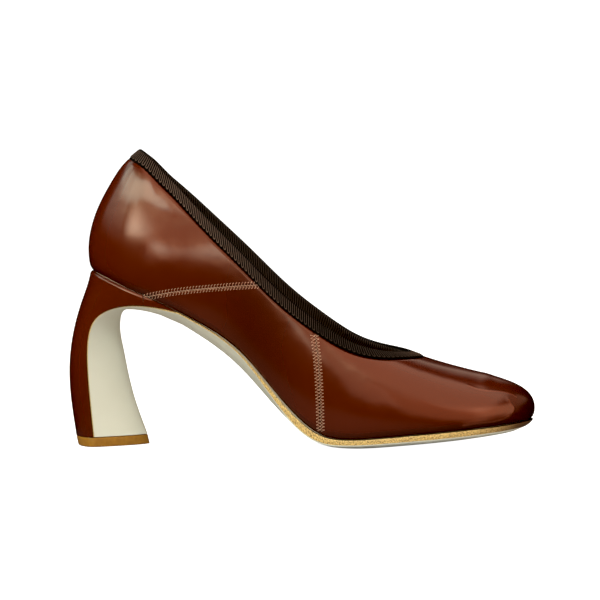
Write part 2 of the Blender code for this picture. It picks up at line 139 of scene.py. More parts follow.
SECTIONS = (
    Section(0.045, 0.000, 0.000, 180, 17, 20.7, 0.149, 0.000, 180, 51, 19.5),
    Section(0.070, 0.432, 0.432, 130, 13, 20.0, 0.165, 0.225, 130, 42, 17.5),
    Section(0.139, 0.676, 0.676, 98, 12, 19.0, 0.216, 0.375, 100, 31, 18.0),
    Section(0.238, 0.635, 0.630, 90, 13, 16.0, 0.297, 0.535, 92, 16, 15.0),
    Section(0.351, 0.562, 0.541, 86, 24, 13.0, 0.393, 0.635, 88, 8, 13.0),
    Section(0.467, 0.730, 0.690, 82, 26, 14.0, 0.483, 0.716, 84, 12, 15.0),
    Section(0.602, 0.968, 0.945, 84, 16, 14.0, 0.573, 0.746, 78, 33, 15.0),
    Section(0.737, 1.000, 1.010, 78, 14, 12.5, 0.652, 0.681, 62, 52, 15.0),
    Section(0.858, 0.865, 0.895, 64, 14, 11.5, 0.701, 0.492, 36, 66, 17.5),
    Section(0.948, 0.568, 0.615, 34, 16, 15.5, 0.726, 0.259, 14, 69, 27.0),
    Section(0.995, -0.030, -0.030, 0, 17, 20.8, 0.735, 0.000, 0, 69, 34.0),
)
FEATHER_LINE = (
    EdgeRow(0.045, 1.000), EdgeRow(0.090, 0.958), EdgeRow(0.142, 0.897), EdgeRow(0.193, 0.842),
    EdgeRow(0.240, 0.779), EdgeRow(0.292, 0.703), EdgeRow(0.335, 0.631), EdgeRow(0.379, 0.535),
    EdgeRow(0.423, 0.409), EdgeRow(0.468, 0.274), EdgeRow(0.513, 0.160), EdgeRow(0.557, 0.091),
    EdgeRow(0.602, 0.073), EdgeRow(0.694, 0.088), EdgeRow(0.843, 0.124), EdgeRow(0.995, 0.162),
)
TOP_LINE = (
    EdgeRow(0.149, 1.000), EdgeRow(0.165, 0.986), EdgeRow(0.206, 0.900), EdgeRow(0.229, 0.850),
    EdgeRow(0.293, 0.699), EdgeRow(0.383, 0.494), EdgeRow(0.456, 0.327), EdgeRow(0.548, 0.159),
    EdgeRow(0.610, 0.069), EdgeRow(0.673, 0.022), EdgeRow(0.705, 0.010), EdgeRow(0.737, 0.000),
)
SOLE_FORM = (
    SoleRow(0.245, 1.0, 7.5, 0.10, 2.0),
    SoleRow(0.320, 1.0, 8.9, 0.25, 2.0),
    SoleRow(0.380, 1.3, 10.1, 0.30, 2.0),
    SoleRow(0.440, 3.2, 9.9, 0.30, 2.0),
    SoleRow(0.500, 4.9, 7.8, 0.18, 2.0),
    SoleRow(0.565, 3.6, 6.7, 0.00, 2.1),
    SoleRow(0.650, 3.0, 7.0, 0.00, 2.1),
    SoleRow(0.760, 3.3, 7.1, 0.00, 2.2),
    SoleRow(0.900, 3.2, 6.0, 0.00, 2.3),
    SoleRow(0.995, 3.0, 4.2, 0.00, 2.6),
)
BREAST = (
    BreastRow(44.0, 67.3, 44.2, 61.9, 24.2, 2.0),
    BreastRow(34.9, 68.1, 36.5, 64.0, 24.3, 2.0),
    BreastRow(26.5, 67.2, 29.4, 64.8, 23.0, 1.9),
    BreastRow(19.0, 64.4, 25.4, 64.0, 21.7, 1.8),
    BreastRow(13.9, 60.3, 23.9, 61.0, 20.3, 1.7),
    BreastRow(11.3, 54.5, 23.6, 55.0, 19.8, 1.65),
    BreastRow(10.2, 46.5, 25.0, 47.0, 19.3, 1.6),
    BreastRow(10.4, 35.0, 27.4, 35.0, 19.3, 1.55),
    BreastRow(11.7, 20.0, 31.3, 20.0, 19.8, 1.5),
    BreastRow(13.3, 4.8, 36.8, 4.8, 20.4, 1.5),
)
HEEL_FORM = (
    HeelRow(4.8, 2.6, 0.45, 0.825, 0.00),
    HeelRow(20.0, 0.3, 0.45, 0.800, 0.00),
    HeelRow(36.0, -0.7, 0.46, 0.785, 0.05),
    HeelRow(50.0, 0.5, 0.52, 0.790, 0.25),
    HeelRow(61.0, 2.9, 0.66, 0.835, 0.55),
    HeelRow(69.0, 5.4, 0.85, 0.920, 0.80),
    HeelRow(78.0, 8.5, 0.97, 0.985, 0.97),
    HeelRow(90.0, 10.9, 1.00, 1.000, 1.00),
)


class Spline:
    """Smooth curve through rows of values at rising knots, open or closed."""

    def __init__(self, knots: Array, values: Array, period: float | None = None) -> None:
        """Fits the curve.

        Args:
            knots: Rising places of the rows.
            values: A row of values for each knot.
            period: Length after which a closed curve starts again.
        """
        self.knots = np.asarray(knots, float)
        self.values = np.asarray(values, float).reshape(len(self.knots), -1)
        self.period = period
        if period is not None:
            self.knots = np.append(self.knots, self.knots[0] + period)
            self.values = np.vstack([self.values, self.values[:1]])
        self.bends = self.solve_bends()

    def solve_bends(self) -> Array:
        """Solves for the bends that make the curve smooth.

        Returns:
            The second derivatives at the knots.
        """
        steps = np.diff(self.knots)
        slopes = np.diff(self.values, axis=0) / steps[:, None]
        closed = self.period is not None
        count = len(steps) if closed else len(self.knots)
        matrix = np.eye(count)
        right = np.zeros((count, self.values.shape[1]))
        for i in range(0 if closed else 1, count if closed else count - 1):
            matrix[i, i] = 2.0 * (steps[i - 1] + steps[i])
            matrix[i, (i - 1) % count] = steps[i - 1]
            matrix[i, (i + 1) % count] = steps[i]
            right[i] = 6.0 * (slopes[i] - slopes[i - 1])
        bends = np.linalg.solve(matrix, right)
        return np.vstack([bends, bends[:1]]) if closed else bends

    def __call__(self, at: Array | float) -> Array:
        """Reads the curve.

        Args:
            at: Places asked for.

        Returns:
            A row of values for each place.
        """
        at = np.atleast_1d(np.asarray(at, float))
        if self.period is not None:
            at = (at - self.knots[0]) % self.period + self.knots[0]
        i = np.clip(np.searchsorted(self.knots, at, side="right") - 1, 0, len(self.knots) - 2)
        step = (self.knots[i + 1] - self.knots[i])[:, None]
        right = (at - self.knots[i])[:, None] / step
        left = 1.0 - right
        straight = left * self.values[i] + right * self.values[i + 1]
        bow = (left**3 - left) * self.bends[i] + (right**3 - right) * self.bends[i + 1]
        return straight + bow * step**2 / 6.0


def running_length(points: Array) -> Array:
    """Returns the distance run at each point of a line."""
    return np.append(0.0, np.cumsum(np.linalg.norm(np.diff(points, axis=0), axis=1)))


def held(values: Array) -> Array:
    """Returns values held between 0 and 1."""
    return np.clip(values, 0.0, 1.0)


def unit_rows(rows: Array) -> Array:
    """Returns rows scaled to length one."""
    return rows / np.linalg.norm(rows, axis=1)[:, None]


def bell(distance: Array, width: float) -> Array:
    """Returns a soft hump of height one and the given half width."""
    return np.exp(-((distance / width) ** 2))


@dataclass
class LastForm:
    """The form the shoe is made on. u runs round it from the back, v from feather edge to top edge."""

    length: float = 222.5
    ball_width: float = 74.0
    heel_height: float = 84.0
    back_height: float = 140.3
    instep_height: float = 44.8
    near: float = 0.001
    back_reach: float = 12.0
    back_forward: float = 0.6
    back_rise: float = 0.7
    inner_dip: float = 1.6
    inner_dip_along: float = 46.0
    inner_dip_reach: float = 16.0
    inner_dip_half: float = 8.0
    period: float = field(init=False)
    toe: float = field(init=False)
    curve: Spline = field(init=False)

    def __post_init__(self) -> None:
        """Fits the curves through the tables."""
        self.feather = self.table_spline(FEATHER_LINE)
        self.top = self.table_spline(TOP_LINE)
        self.sole = self.table_spline(SOLE_FORM)
        outer = [self.section_row(row, Side.OUTER) for row in SECTIONS]
        inner = [self.section_row(row, Side.INNER) for row in reversed(SECTIONS[1:-1])]
        rows = np.array(outer + inner)
        middles = (rows[:, 0:2] + rows[:, 2:4]) / 2.0
        run = running_length(np.vstack([middles, middles[:1]]))
        self.period = float(run[-1])
        self.toe = float(run[len(SECTIONS) - 1])
        self.curve = Spline(run[:-1], rows, self.period)

    def table_spline(self, rows: tuple) -> Spline:
        """Returns a spline through a table whose first column is a share of the length."""
        table = np.array(rows, float)
        return Spline(table[:, 0] * self.length, table[:, 1:])

    def section_row(self, row: Section, side: Side) -> list[float]:
        """Lists the ends of one section and the two handles of its wall.

        Args:
            row: The section.
            side: The side of the shoe.

        Returns:
            Feather x and y, top x and y, low handle, top handle.
        """
        half = self.ball_width / 2.0
        width = row.outer if side is Side.OUTER else row.inner
        ends = [row.along * self.length, side.value * width * half]
        ends += [row.top_along * self.length, side.value * row.top_half * half]
        for bearing, lean, reach, up in (
            (row.low_bearing, row.low_lean, row.low_reach, 1.0),
            (row.top_bearing, row.top_lean, row.top_reach, -1.0),
        ):
            flat = math.sin(math.radians(lean)) * reach
            turn = math.radians(bearing)
            rise = up * math.cos(math.radians(lean)) * reach
            ends += [flat * math.cos(turn), side.value * flat * math.sin(turn), rise]
        return ends

    def feather_height(self, x: Array | float) -> Array:
        """Returns the height of the feather edge at places along the shoe."""
        return self.feather(x)[:, 0] * self.heel_height

    def at_back(self, u: Array, reach: float) -> Array:
        """Returns how near places round the shoe are to the middle of its back."""
        around = np.asarray(u) % self.period
        return bell(np.minimum(around, self.period - around), reach)

    def point(self, u: Array, v: Array | float) -> Array:
        """Draws the skin.

        Args:
            u: Places round the shoe.
            v: Shares of the way up the wall.

        Returns:
            Places on the skin.
        """
        row = self.curve(u)
        feather = np.column_stack([row[:, 0:2], self.feather_height(row[:, 0])])
        rise = self.top(row[:, 2])[:, 0] * (self.back_height - self.instep_height)
        top = np.column_stack([row[:, 2:4], self.instep_height + rise])
        back = self.at_back(u, self.back_reach)
        inside = held(row[:, 3] / self.inner_dip_half)
        inside *= bell(row[:, 2] - self.inner_dip_along, self.inner_dip_reach)
        top[:, 0] += self.back_forward * back
        top[:, 2] += self.back_rise * back - self.inner_dip * inside
        low = feather + row[:, 4:7]
        high = top + row[:, 7:10]
        v = np.broadcast_to(np.asarray(v, float), np.shape(u))[:, None]
        w = 1.0 - v
        return w**3 * feather + 3.0 * w * w * v * low + 3.0 * w * v * v * high + v**3 * top

    def normal(self, u: Array, v: Array | float) -> Array:
        """Measures which way the skin faces.

        Args:
            u: Places round the shoe.
            v: Shares of the way up the wall.

        Returns:
            Outward directions of length one.
        """
        v = np.clip(np.broadcast_to(np.asarray(v, float), np.shape(u)), self.near, 1.0 - self.near)
        along = self.point(u + self.near, v) - self.point(u - self.near, v)
        up = self.point(u, v + self.near) - self.point(u, v - self.near)
        return unit_rows(np.cross(along, up))

    def shares_at_depths(self, u: Array, depths: Array, lowest: float = 0.4, samples: int = 61) -> Array:
        """Finds v at depths below the top edge, measured along the wall.

        Args:
            u: Places round the shoe.
            depths: Depths in millimetres.
            lowest: Share of the wall where the search ends.
            samples: Steps of the search.

        Returns:
            A row for each place, a column for each depth.
        """
        shares = np.linspace(1.0, lowest, samples)
        walls = self.point(np.repeat(u, samples), np.tile(shares, len(u))).reshape(len(u), samples, 3)
        return np.array([np.interp(depths, running_length(wall), shares) for wall in walls])

    def depths_below_top(self, u: Array, v: Array, samples: int = 61) -> Array:
        """Measures along the wall how far places lie below the top edge.

        Args:
            u: Places round the shoe.
            v: Shares of the way up the wall.
            samples: Steps down each wall.

        Returns:
            Depths in millimetres.
        """
        columns, column = np.unique(np.round(u, 6), return_inverse=True)
        shares = np.linspace(1.0, 0.0, samples)
        walls = self.point(np.repeat(columns, samples), np.tile(shares, len(columns)))
        runs = [running_length(wall) for wall in walls.reshape(len(columns), samples, 3)]
        depths = np.empty(len(u))
        for i, run in enumerate(runs):
            here = column == i
            depths[here] = np.interp(v[here], shares[::-1], run[::-1])
        return depths

    def plan(self, u: Array, inset: float = 0.0, near: float = 0.01) -> Array:
        """Draws the feather edge from above.

        Args:
            u: Places round the shoe.
            inset: How far the edge is drawn in.
            near: Step that finds the edge's direction.

        Returns:
            Rows of place along and sideways.
        """
        along = unit_rows((self.curve(u + near) - self.curve(u - near))[:, 0:2])
        return self.curve(u)[:, 0:2] + inset * np.column_stack([-along[:, 1], along[:, 0]])

    def half_widths(self, x: Array, inset: float = 0.0, samples: int = 900) -> tuple[Array, Array]:
        """Measures the feather edge from above.

        Args:
            x: Places along the shoe.
            inset: How far the edge is drawn in.
            samples: Points on each side.

        Returns:
            Half widths on the outer side and on the inner side.
        """
        outer = self.plan(np.linspace(0.0, self.toe, samples), inset)
        inner = self.plan(np.linspace(self.period, self.toe, samples), inset)
        return np.interp(x, outer[:, 0], -outer[:, 1]), np.interp(x, inner[:, 0], inner[:, 1])

    def locate(
        self, seen: Array, side: Side, rounds: int = 4, net: tuple[int, int] = (420, 90)
    ) -> tuple[Array, Array]:
        """Finds the skin's coordinates of places given by their side view.

        Args:
            seen: Rows of place along and height.
            side: The side of the shoe that they lie on.
            rounds: Steps of the refinement.
            net: Points round and up of the first search.

        Returns:
            The two coordinates of each place.
        """
        span = (0.0, self.toe) if side is Side.OUTER else (self.toe, self.period)
        around, up = np.linspace(*span, net[0]), np.linspace(0.0, 1.0, net[1])
        u, v = (axis.ravel() for axis in np.meshgrid(around, up))
        known = self.point(u, v)[:, [0, 2]]
        nearest = [int(np.argmin(((known - place) ** 2).sum(axis=1))) for place in seen]
        u, v = u[nearest], v[nearest]
        for _ in range(rounds):
            here = self.point(u, v)[:, [0, 2]]
            by_u = (self.point(u + self.near, v)[:, [0, 2]] - here) / self.near
            by_v = (self.point(u, v + self.near)[:, [0, 2]] - here) / self.near
            miss = seen - here
            area = by_u[:, 0] * by_v[:, 1] - by_u[:, 1] * by_v[:, 0]
            u = u + (miss[:, 0] * by_v[:, 1] - miss[:, 1] * by_v[:, 0]) / area
            v = held(v + (by_u[:, 0] * miss[:, 1] - by_u[:, 1] * miss[:, 0]) / area)
        return u, v


class Bench:
    """Modelling steps on one object at a time, done with operators as by hand."""

    @staticmethod
    def grid(name: str, columns: int, rows: int) -> Object:
        """Adds a flat grid, one unit square, selected alone.

        Args:
            name: Name of the piece.
            columns: Faces across.
            rows: Faces up.

        Returns:
            The new object.
        """
        bpy.ops.object.select_all(action="DESELECT")
        bpy.ops.mesh.primitive_grid_add(x_subdivisions=columns, y_subdivisions=rows, size=1.0)
        item = bpy.context.active_object
        item.name = name
        item.data.name = name
        return item

    @staticmethod
    def pick(item: Object) -> None:
        """Selects one object alone and makes it the active one.

        Args:
            item: The object.
        """
        bpy.ops.object.select_all(action="DESELECT")
        item.select_set(True)
        bpy.context.view_layer.objects.active = item

    @staticmethod
    def shares(item: Object) -> tuple[Array, Array]:
        """Measures a fresh grid.

        Args:
            item: The grid.

        Returns:
            Where each point lies across and up, from 0 to 1.
        """
        places = np.empty(len(item.data.vertices) * 3)
        item.data.vertices.foreach_get("co", places)
        places = places.reshape(-1, 3)
        return places[:, 0] + 0.5, places[:, 1] + 0.5

    @staticmethod
    def lattice(name: str, columns: int, rows: int) -> tuple[Object, Array, Array]:
        """Adds a grid and numbers its points.

        Args:
            name: Name of the piece.
            columns: Faces across.
            rows: Faces up.

        Returns:
            The grid, and the column and the row of each point.
        """
        item = Bench.grid(name, columns, rows)
        across, up = Bench.shares(item)
        return item, np.rint(across * columns).astype(int), np.rint(up * rows).astype(int)

    @staticmethod
    def corners(item: Object) -> Array:
        """Lists the corners of all faces.

        Args:
            item: The piece.

        Returns:
            The number of the point that each corner lies on.
        """
        found = np.empty(len(item.data.loops), np.int32)
        item.data.loops.foreach_get("vertex_index", found)
        return found

    @staticmethod
    def lay(item: Object, places: Array) -> None:
        """Moves every point to its place.

        Args:
            item: The piece.
            places: Places in millimetres from the heel's back.
        """
        moved = (places - [MIDDLE, 0.0, 0.0]) * MM
        item.data.vertices.foreach_set("co", moved.ravel())
        item.data.update()

    @staticmethod
    def lay_uv(item: Object, across: Array, up: Array) -> None:
        """Sets the UV map from two values at each point."""
        pairs = np.column_stack([across, up])[Bench.corners(item)]
        item.data.uv_layers.active.data.foreach_set("uv", pairs.ravel())

    @staticmethod
    def mark(item: Object, name: str, values: Array) -> None:
        """Stores a value at each point for the materials to read."""
        attribute = item.data.attributes.new(name, "FLOAT", "POINT")
        attribute.data.foreach_set("value", np.asarray(values, np.float32))

    @staticmethod
    def paint_faces(item: Object, values: Array, slots: Callable[[Array], Array]) -> None:
        """Gives the faces of a grid their material slots.

        Args:
            item: The grid.
            values: A value at each point.
            slots: Turns the mean value of each face into a slot.
        """
        means = values[Bench.corners(item).reshape(-1, 4)].mean(axis=1)
        item.data.polygons.foreach_set("material_index", np.asarray(slots(means), np.int32))

    @staticmethod
    def close(item: Object, caps: bool = False) -> None:
        """Merges the points that meet and, if asked, caps the open ends.

        Args:
            item: The piece.
            caps: Whether holes are filled and faces turned outwards.
        """
        Bench.pick(item)
        bpy.ops.object.mode_set(mode="EDIT")
        bpy.ops.mesh.select_all(action="SELECT")
        bpy.ops.mesh.remove_doubles(threshold=MERGE_METRES)
        if caps:
            bpy.ops.mesh.select_all(action="SELECT")
            bpy.ops.mesh.fill_holes(sides=0)
            bpy.ops.mesh.select_all(action="SELECT")
            bpy.ops.mesh.normals_make_consistent(inside=False)
        bpy.ops.object.mode_set(mode="OBJECT")

    @staticmethod
    def bevel(item: Object, width: float, segments: int, angle: float) -> None:
        """Rounds the sharp edges of a piece.

        Args:
            item: The piece.
            width: Width in millimetres.
            segments: Faces across the round.
            angle: Degrees past which an edge is rounded.
        """
        sizes = {"width": width * MM, "segments": segments}
        Bench.apply(item, "BEVEL", limit_method="ANGLE", angle_limit=math.radians(angle), **sizes)

    @staticmethod
    def apply(item: Object, kind: str, **settings: object) -> None:
        """Adds a modifier and applies it.

        Args:
            item: The piece.
            kind: Type of the modifier.
            settings: Values for its properties.
        """
        Bench.pick(item)
        modifier = item.modifiers.new(kind.lower(), kind)
        for name, value in settings.items():
            setattr(modifier, name, value)
        bpy.ops.object.modifier_apply(modifier=modifier.name)

    @staticmethod
    def finish(item: Object, angle: float, slot: str | None, *nodes: str) -> None:
        """Smooths a piece, sets it on its body and hides the CAD parts that it stands for.

        Args:
            item: The piece.
            angle: Degrees past which an edge stays sharp.
            slot: The record's material slot, if it has one. Not used.
            nodes: CAD nodes that the piece stands for.
        """
        Bench.pick(item)
        bpy.ops.object.shade_smooth_by_angle(angle=math.radians(angle))
        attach(item, BODY)
        if nodes:
            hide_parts(*nodes)


class Nodes:
    """Lays nodes and links in one shader tree."""

    def __init__(self, tree: NodeTree) -> None:
        """Keeps the tree to work in."""
        self.tree = tree

    def add(self, kind: str, inputs: dict | None = None, **settings: object) -> Node:
        """Adds a node.

        Args:
            kind: Type of the node.
            inputs: Values or sockets for its inputs, by name or number.
            settings: Values for its properties.

        Returns:
            The node.
        """
        node = self.tree.nodes.new(kind)
        for name, value in settings.items():
            setattr(node, name, value)
        for name, value in (inputs or {}).items():
            if isinstance(value, NodeSocket):
                self.tree.links.new(value, node.inputs[name])
            else:
                node.inputs[name].default_value = value
        return node

    def group(self, tree: NodeTree, inputs: dict) -> NodeOutputs:
        """Adds a node group and returns its outputs."""
        return self.add("ShaderNodeGroup", inputs, node_tree=tree).outputs

    def attribute(self, name: str) -> NodeSocket:
        """Returns a value that is stored at the points of a mesh."""
        return self.add("ShaderNodeAttribute", attribute_name=name).outputs["Fac"]

    def math(self, operation: str, first: object, second: object = 0.0) -> NodeSocket:
        """Returns the result of a sum on one or two values."""
        return self.add("ShaderNodeMath", {0: first, 1: second}, operation=operation).outputs[0]

    def noise(self, vector: NodeSocket, scale: object, detail: float = 3.0) -> NodeSocket:
        """Returns soft noise between 0 and 1."""
        inputs = {"Vector": vector, "Scale": scale, "Detail": detail}
        return self.add("ShaderNodeTexNoise", inputs).outputs["Fac"]

    def spread(
        self, value: object, low: object, high: object, start: float = 0.0, end: float = 1.0
    ) -> NodeSocket:
        """Returns a value spread from one range over another."""
        inputs = {"Value": value, "From Min": start, "From Max": end, "To Min": low, "To Max": high}
        return self.add("ShaderNodeMapRange", inputs).outputs["Result"]

    def mix(self, share: object, first: object, second: object) -> NodeSocket:
        """Returns a mix of two colours."""
        inputs = {0: share, 6: first, 7: second}
        return self.add("ShaderNodeMix", inputs, data_type="RGBA").outputs[2]


class GroupBuilder(Nodes):
    """Makes a node group with named inputs and outputs."""

    def __init__(self, name: str, inputs: dict[str, str], outputs: dict[str, str]) -> None:
        """Makes the empty group.

        Args:
            name: Name of the group.
            inputs: Socket types by name.
            outputs: Socket types by name.
        """
        tree = bpy.data.node_groups.new(name, "ShaderNodeTree")
        for way, sockets in (("INPUT", inputs), ("OUTPUT", outputs)):
            for label, kind in sockets.items():
                tree.interface.new_socket(name=label, in_out=way, socket_type="NodeSocket" + kind)
        super().__init__(tree)
        self.taken = self.add("NodeGroupInput").outputs
        self.given = self.add("NodeGroupOutput").inputs

    def give(self, name: str, value: NodeSocket) -> None:
        """Sends a value out of the group."""
        self.tree.links.new(value, self.given[name])


@functools.cache
def hide_grain() -> NodeTree:
    """Makes the group for a hide's surface: pores, and slow waves that break up reflections.

    Returns:
        The group.
    """
    group = GroupBuilder(
        "hide_grain",
        {"Vector": "Vector", "Pore Scale": "Float", "Wave Scale": "Float"},
        {"Pores": "Float", "Waves": "Float"},
    )
    vector = group.taken["Vector"]
    cells = group.add("ShaderNodeTexVoronoi", {"Vector": vector, "Scale": group.taken["Pore Scale"]})
    speck = group.noise(vector, group.taken["Pore Scale"], 2.0)
    group.give("Pores", group.math("MULTIPLY", cells.outputs["Distance"], speck))
    group.give("Waves", group.noise(vector, group.taken["Wave Scale"], 1.0))
    return group.tree


@functools.cache
def dye_mottle() -> NodeTree:
    """Makes the group for uneven dye: a cloudy mix of two colours.

    Returns:
        The group.
    """
    group = GroupBuilder(
        "dye_mottle",
        {"Vector": "Vector", "Scale": "Float", "Contrast": "Float", "Deep": "Color", "Light": "Color"},
        {"Color": "Color", "Mask": "Float"},
    )
    cloud = group.noise(group.taken["Vector"], group.taken["Scale"], 2.0)
    centred = group.math("SUBTRACT", cloud, 0.5)
    scaled = group.math("MULTIPLY", centred, group.taken["Contrast"])
    mask = group.add("ShaderNodeClamp", {"Value": group.math("ADD", scaled, 0.5)}).outputs[0]
    group.give("Color", group.mix(mask, group.taken["Deep"], group.taken["Light"]))
    group.give("Mask", mask)
    return group.tree


@functools.cache
def seam_groove() -> NodeTree:
    """Makes the group for a sewn seam: a groove along a stored distance in millimetres.

    Returns:
        The group.
    """
    group = GroupBuilder(
        "seam_groove",
        {"Distance": "Float", "Width": "Float"},
        {"Height": "Float", "Mask": "Float"},
    )
    share = group.math("DIVIDE", group.taken["Distance"], group.taken["Width"])
    square = group.math("MULTIPLY", share, share)
    mask = group.math("EXPONENT", group.math("MULTIPLY", square, -1.0))
    group.give("Height", group.math("SUBTRACT", 1.0, mask))
    group.give("Mask", mask)
    return group.tree


@functools.cache
def fibre_fleck(streak_detail: float = 5.0, fleck_scale: float = 0.9) -> NodeTree:
    """Makes the group for cut leather and woven thread: fine streaks and dark flecks along a run.

    Args:
        streak_detail: Layers of noise in the streaks.
        fleck_scale: Scale of the flecks for one of the streaks.

    Returns:
        The group.
    """
    group = GroupBuilder(
        "fibre_fleck",
        {"Vector": "Vector", "Scale": "Float", "Stretch": "Vector", "Fleck": "Float"},
        {"Streaks": "Float", "Flecks": "Float"},
    )
    factors = {0: group.taken["Vector"], 1: group.taken["Stretch"]}
    pulled = group.add("ShaderNodeVectorMath", factors, operation="MULTIPLY")
    streaks = group.noise(pulled.outputs[0], group.taken["Scale"], streak_detail)
    fine = group.math("MULTIPLY", group.taken["Scale"], fleck_scale)
    speck = group.noise(group.taken["Vector"], fine, 2.0)
    group.give("Streaks", streaks)
    group.give("Flecks", group.math("GREATER_THAN", speck, group.taken["Fleck"]))
    return group.tree


class Coordinate(Enum):
    """Where a material takes its pattern from."""

    OBJECT = "Object"
    UV = "UV"


@dataclass(frozen=True)
class Finish:
    """What every finish has: a name, its roughness and the clear coat on it."""

    name: str
    roughness: float
    coat: float = 0.0
    coat_roughness: float = 0.1
    specular: float = 0.5
    tint: Colour = (1.0, 1.0, 1.0)

    def start(self) -> tuple[Material, Nodes, Node]:
        """Makes the material and sets what is the same all over it.

        Returns:
            The material, its nodes and its shader.
        """
        material = bpy.data.materials.new(self.name)
        material.use_nodes = True
        shader = material.node_tree.nodes["Principled BSDF"]
        constants = {
            "Roughness": self.roughness,
            "Coat Weight": self.coat,
            "Coat Roughness": self.coat_roughness,
            "Specular IOR Level": self.specular,
            "Specular Tint": (*self.tint, 1.0),
        }
        for name, value in constants.items():
            shader.inputs[name].default_value = value
        return material, Nodes(material.node_tree), shader

    @staticmethod
    def place(nodes: Nodes, kind: Coordinate) -> NodeSocket:
        """Returns the coordinates that the patterns lie on."""
        return nodes.add("ShaderNodeTexCoord").outputs[kind.value]

    @staticmethod
    def connect(
        nodes: Nodes,
        shader: Node,
        colour: NodeSocket,
        rough: NodeSocket,
        normal: NodeSocket,
    ) -> None:
        """Links what changes over the surface to the shader.

        Args:
            nodes: Nodes of the material.
            shader: Its shader.
            colour: The colour.
            rough: The roughness.
            normal: The bumped normal.
        """
        for name, value in (("Base Color", colour), ("Roughness", rough), ("Normal", normal)):
            nodes.tree.links.new(value, shader.inputs[name])

    @staticmethod
    def bump(
        nodes: Nodes, height: object, depth: float, strength: float, below: object = None
    ) -> NodeSocket:
        """Raises the surface by a pattern.

        Args:
            nodes: Nodes of the material.
            height: The pattern.
            depth: Height in metres for a pattern of one.
            strength: Share of the effect.
            below: Another bump that this one lies on.

        Returns:
            The bumped normal.
        """
        inputs = {"Height": height, "Distance": depth, "Strength": strength}
        if below is not None:
            inputs["Normal"] = below
        return nodes.add("ShaderNodeBump", inputs).outputs[0]


@dataclass(frozen=True)
class Leather(Finish):
    """What both leathers have: cloudy dye over pores and slow waves."""

    deep: Colour = (0.40, 0.27, 0.17)
    light: Colour = (0.52, 0.38, 0.26)
    cloud_scale: float = 60.0
    cloud_contrast: float = 1.4
    pore_scale: float = 1500.0
    pore_depth: float = 0.00008
    pore_share: float = 0.5
    wave_scale: float = 125.0
    wave_depth: float = 0.00008
    wave_share: float = 0.4
    smoother: float = 0.05
    rougher: float = 0.06

    def hide(self, nodes: Nodes) -> tuple[NodeOutputs, NodeSocket, NodeSocket]:
        """Lays the dye and the grain.

        Args:
            nodes: Nodes of the material.

        Returns:
            The dye's outputs, the bumped normal and the roughness.
        """
        vector = self.place(nodes, Coordinate.OBJECT)
        dye = nodes.group(
            dye_mottle(),
            {
                "Vector": vector,
                "Scale": self.cloud_scale,
                "Contrast": self.cloud_contrast,
                "Deep": (*self.deep, 1.0),
                "Light": (*self.light, 1.0),
            },
        )
        scales = {"Vector": vector, "Pore Scale": self.pore_scale, "Wave Scale": self.wave_scale}
        grain = nodes.group(hide_grain(), scales)
        normal = self.bump(nodes, grain["Waves"], self.wave_depth, self.wave_share)
        normal = self.bump(nodes, grain["Pores"], self.pore_depth, self.pore_share, normal)
        rough = nodes.spread(dye["Mask"], self.roughness - self.smoother, self.roughness + self.rougher)
        return dye, normal, rough


@dataclass(frozen=True)
class GlossLeather(Leather):
    """Polished calf: deep dye under a clear gloss, with sewn seams at stored distances."""

    deep: Colour = (0.062, 0.0058, 0.0006)
    light: Colour = (0.084, 0.0095, 0.0014)
    cloud_scale: float = 42.0
    cloud_contrast: float = 0.7
    pore_scale: float = 2600.0
    pore_depth: float = 0.00003
    pore_share: float = 0.02
    wave_scale: float = 130.0
    wave_depth: float = 0.00022
    wave_share: float = 0.7
    smoother: float = 0.03
    rougher: float = 0.03
    # Darker colour mixed in by the stored darkening: painted shade on the upper's lower edge and waist.
    darkened_colour: Colour = (0.022, 0.0022, 0.0003)
    burnish_share: float = 0.8
    seams: tuple[str, ...] = ()
    seam_colour: Colour = (0.012, 0.003, 0.001)
    seam_width: float = 0.45
    seam_depth: float = 0.0004
    seam_bump: float = 0.8
    seam_share: float = 0.85
    # Painted highlight: a pale line along the toe's puff edges, standing in for their reflection.
    painted_highlight: Colour = (0.30, 0.085, 0.045)
    highlight_mark: str | None = None
    highlight_width: float = 0.5
    highlight_share: float = 0.28

    def material(self) -> Material:
        """Makes the leather.

        Returns:
            The finished material.
        """
        material, nodes, shader = self.start()
        dye, normal, rough = self.hide(nodes)
        # The stored darkening mixes in the darker colour: painted shade along the upper's feather edge and
        # on its waist, darker too at the toe tip and towards the heel cover's foot.
        burnish = nodes.math("MULTIPLY", nodes.attribute("burnish"), self.burnish_share)
        colour = nodes.mix(burnish, dye["Color"], (*self.darkened_colour, 1.0))
        for seam in self.seams:
            sizes = {"Distance": nodes.attribute(seam), "Width": self.seam_width}
            groove = nodes.group(seam_groove(), sizes)
            normal = self.bump(nodes, groove["Height"], self.seam_depth, self.seam_bump, normal)
            share = nodes.math("MULTIPLY", groove["Mask"], self.seam_share)
            colour = nodes.mix(share, colour, (*self.seam_colour, 1.0))
        # Painted highlight along the stored toe lines.
        if self.highlight_mark:
            sizes = {"Distance": nodes.attribute(self.highlight_mark), "Width": self.highlight_width}
            line = nodes.group(seam_groove(), sizes)
            share = nodes.math("MULTIPLY", line["Mask"], self.highlight_share)
            colour = nodes.mix(share, colour, (*self.painted_highlight, 1.0))
        self.connect(nodes, shader, colour, rough, normal)
        return material


@dataclass(frozen=True)
class SoftLeather(Leather):
    """Matt leather of the lining and the painted sole: grain and cloudy colour."""

    def material(self) -> Material:
        """Makes the leather.

        Returns:
            The finished material.
        """
        material, nodes, shader = self.start()
        dye, normal, rough = self.hide(nodes)
        self.connect(nodes, shader, dye["Color"], rough, normal)
        return material


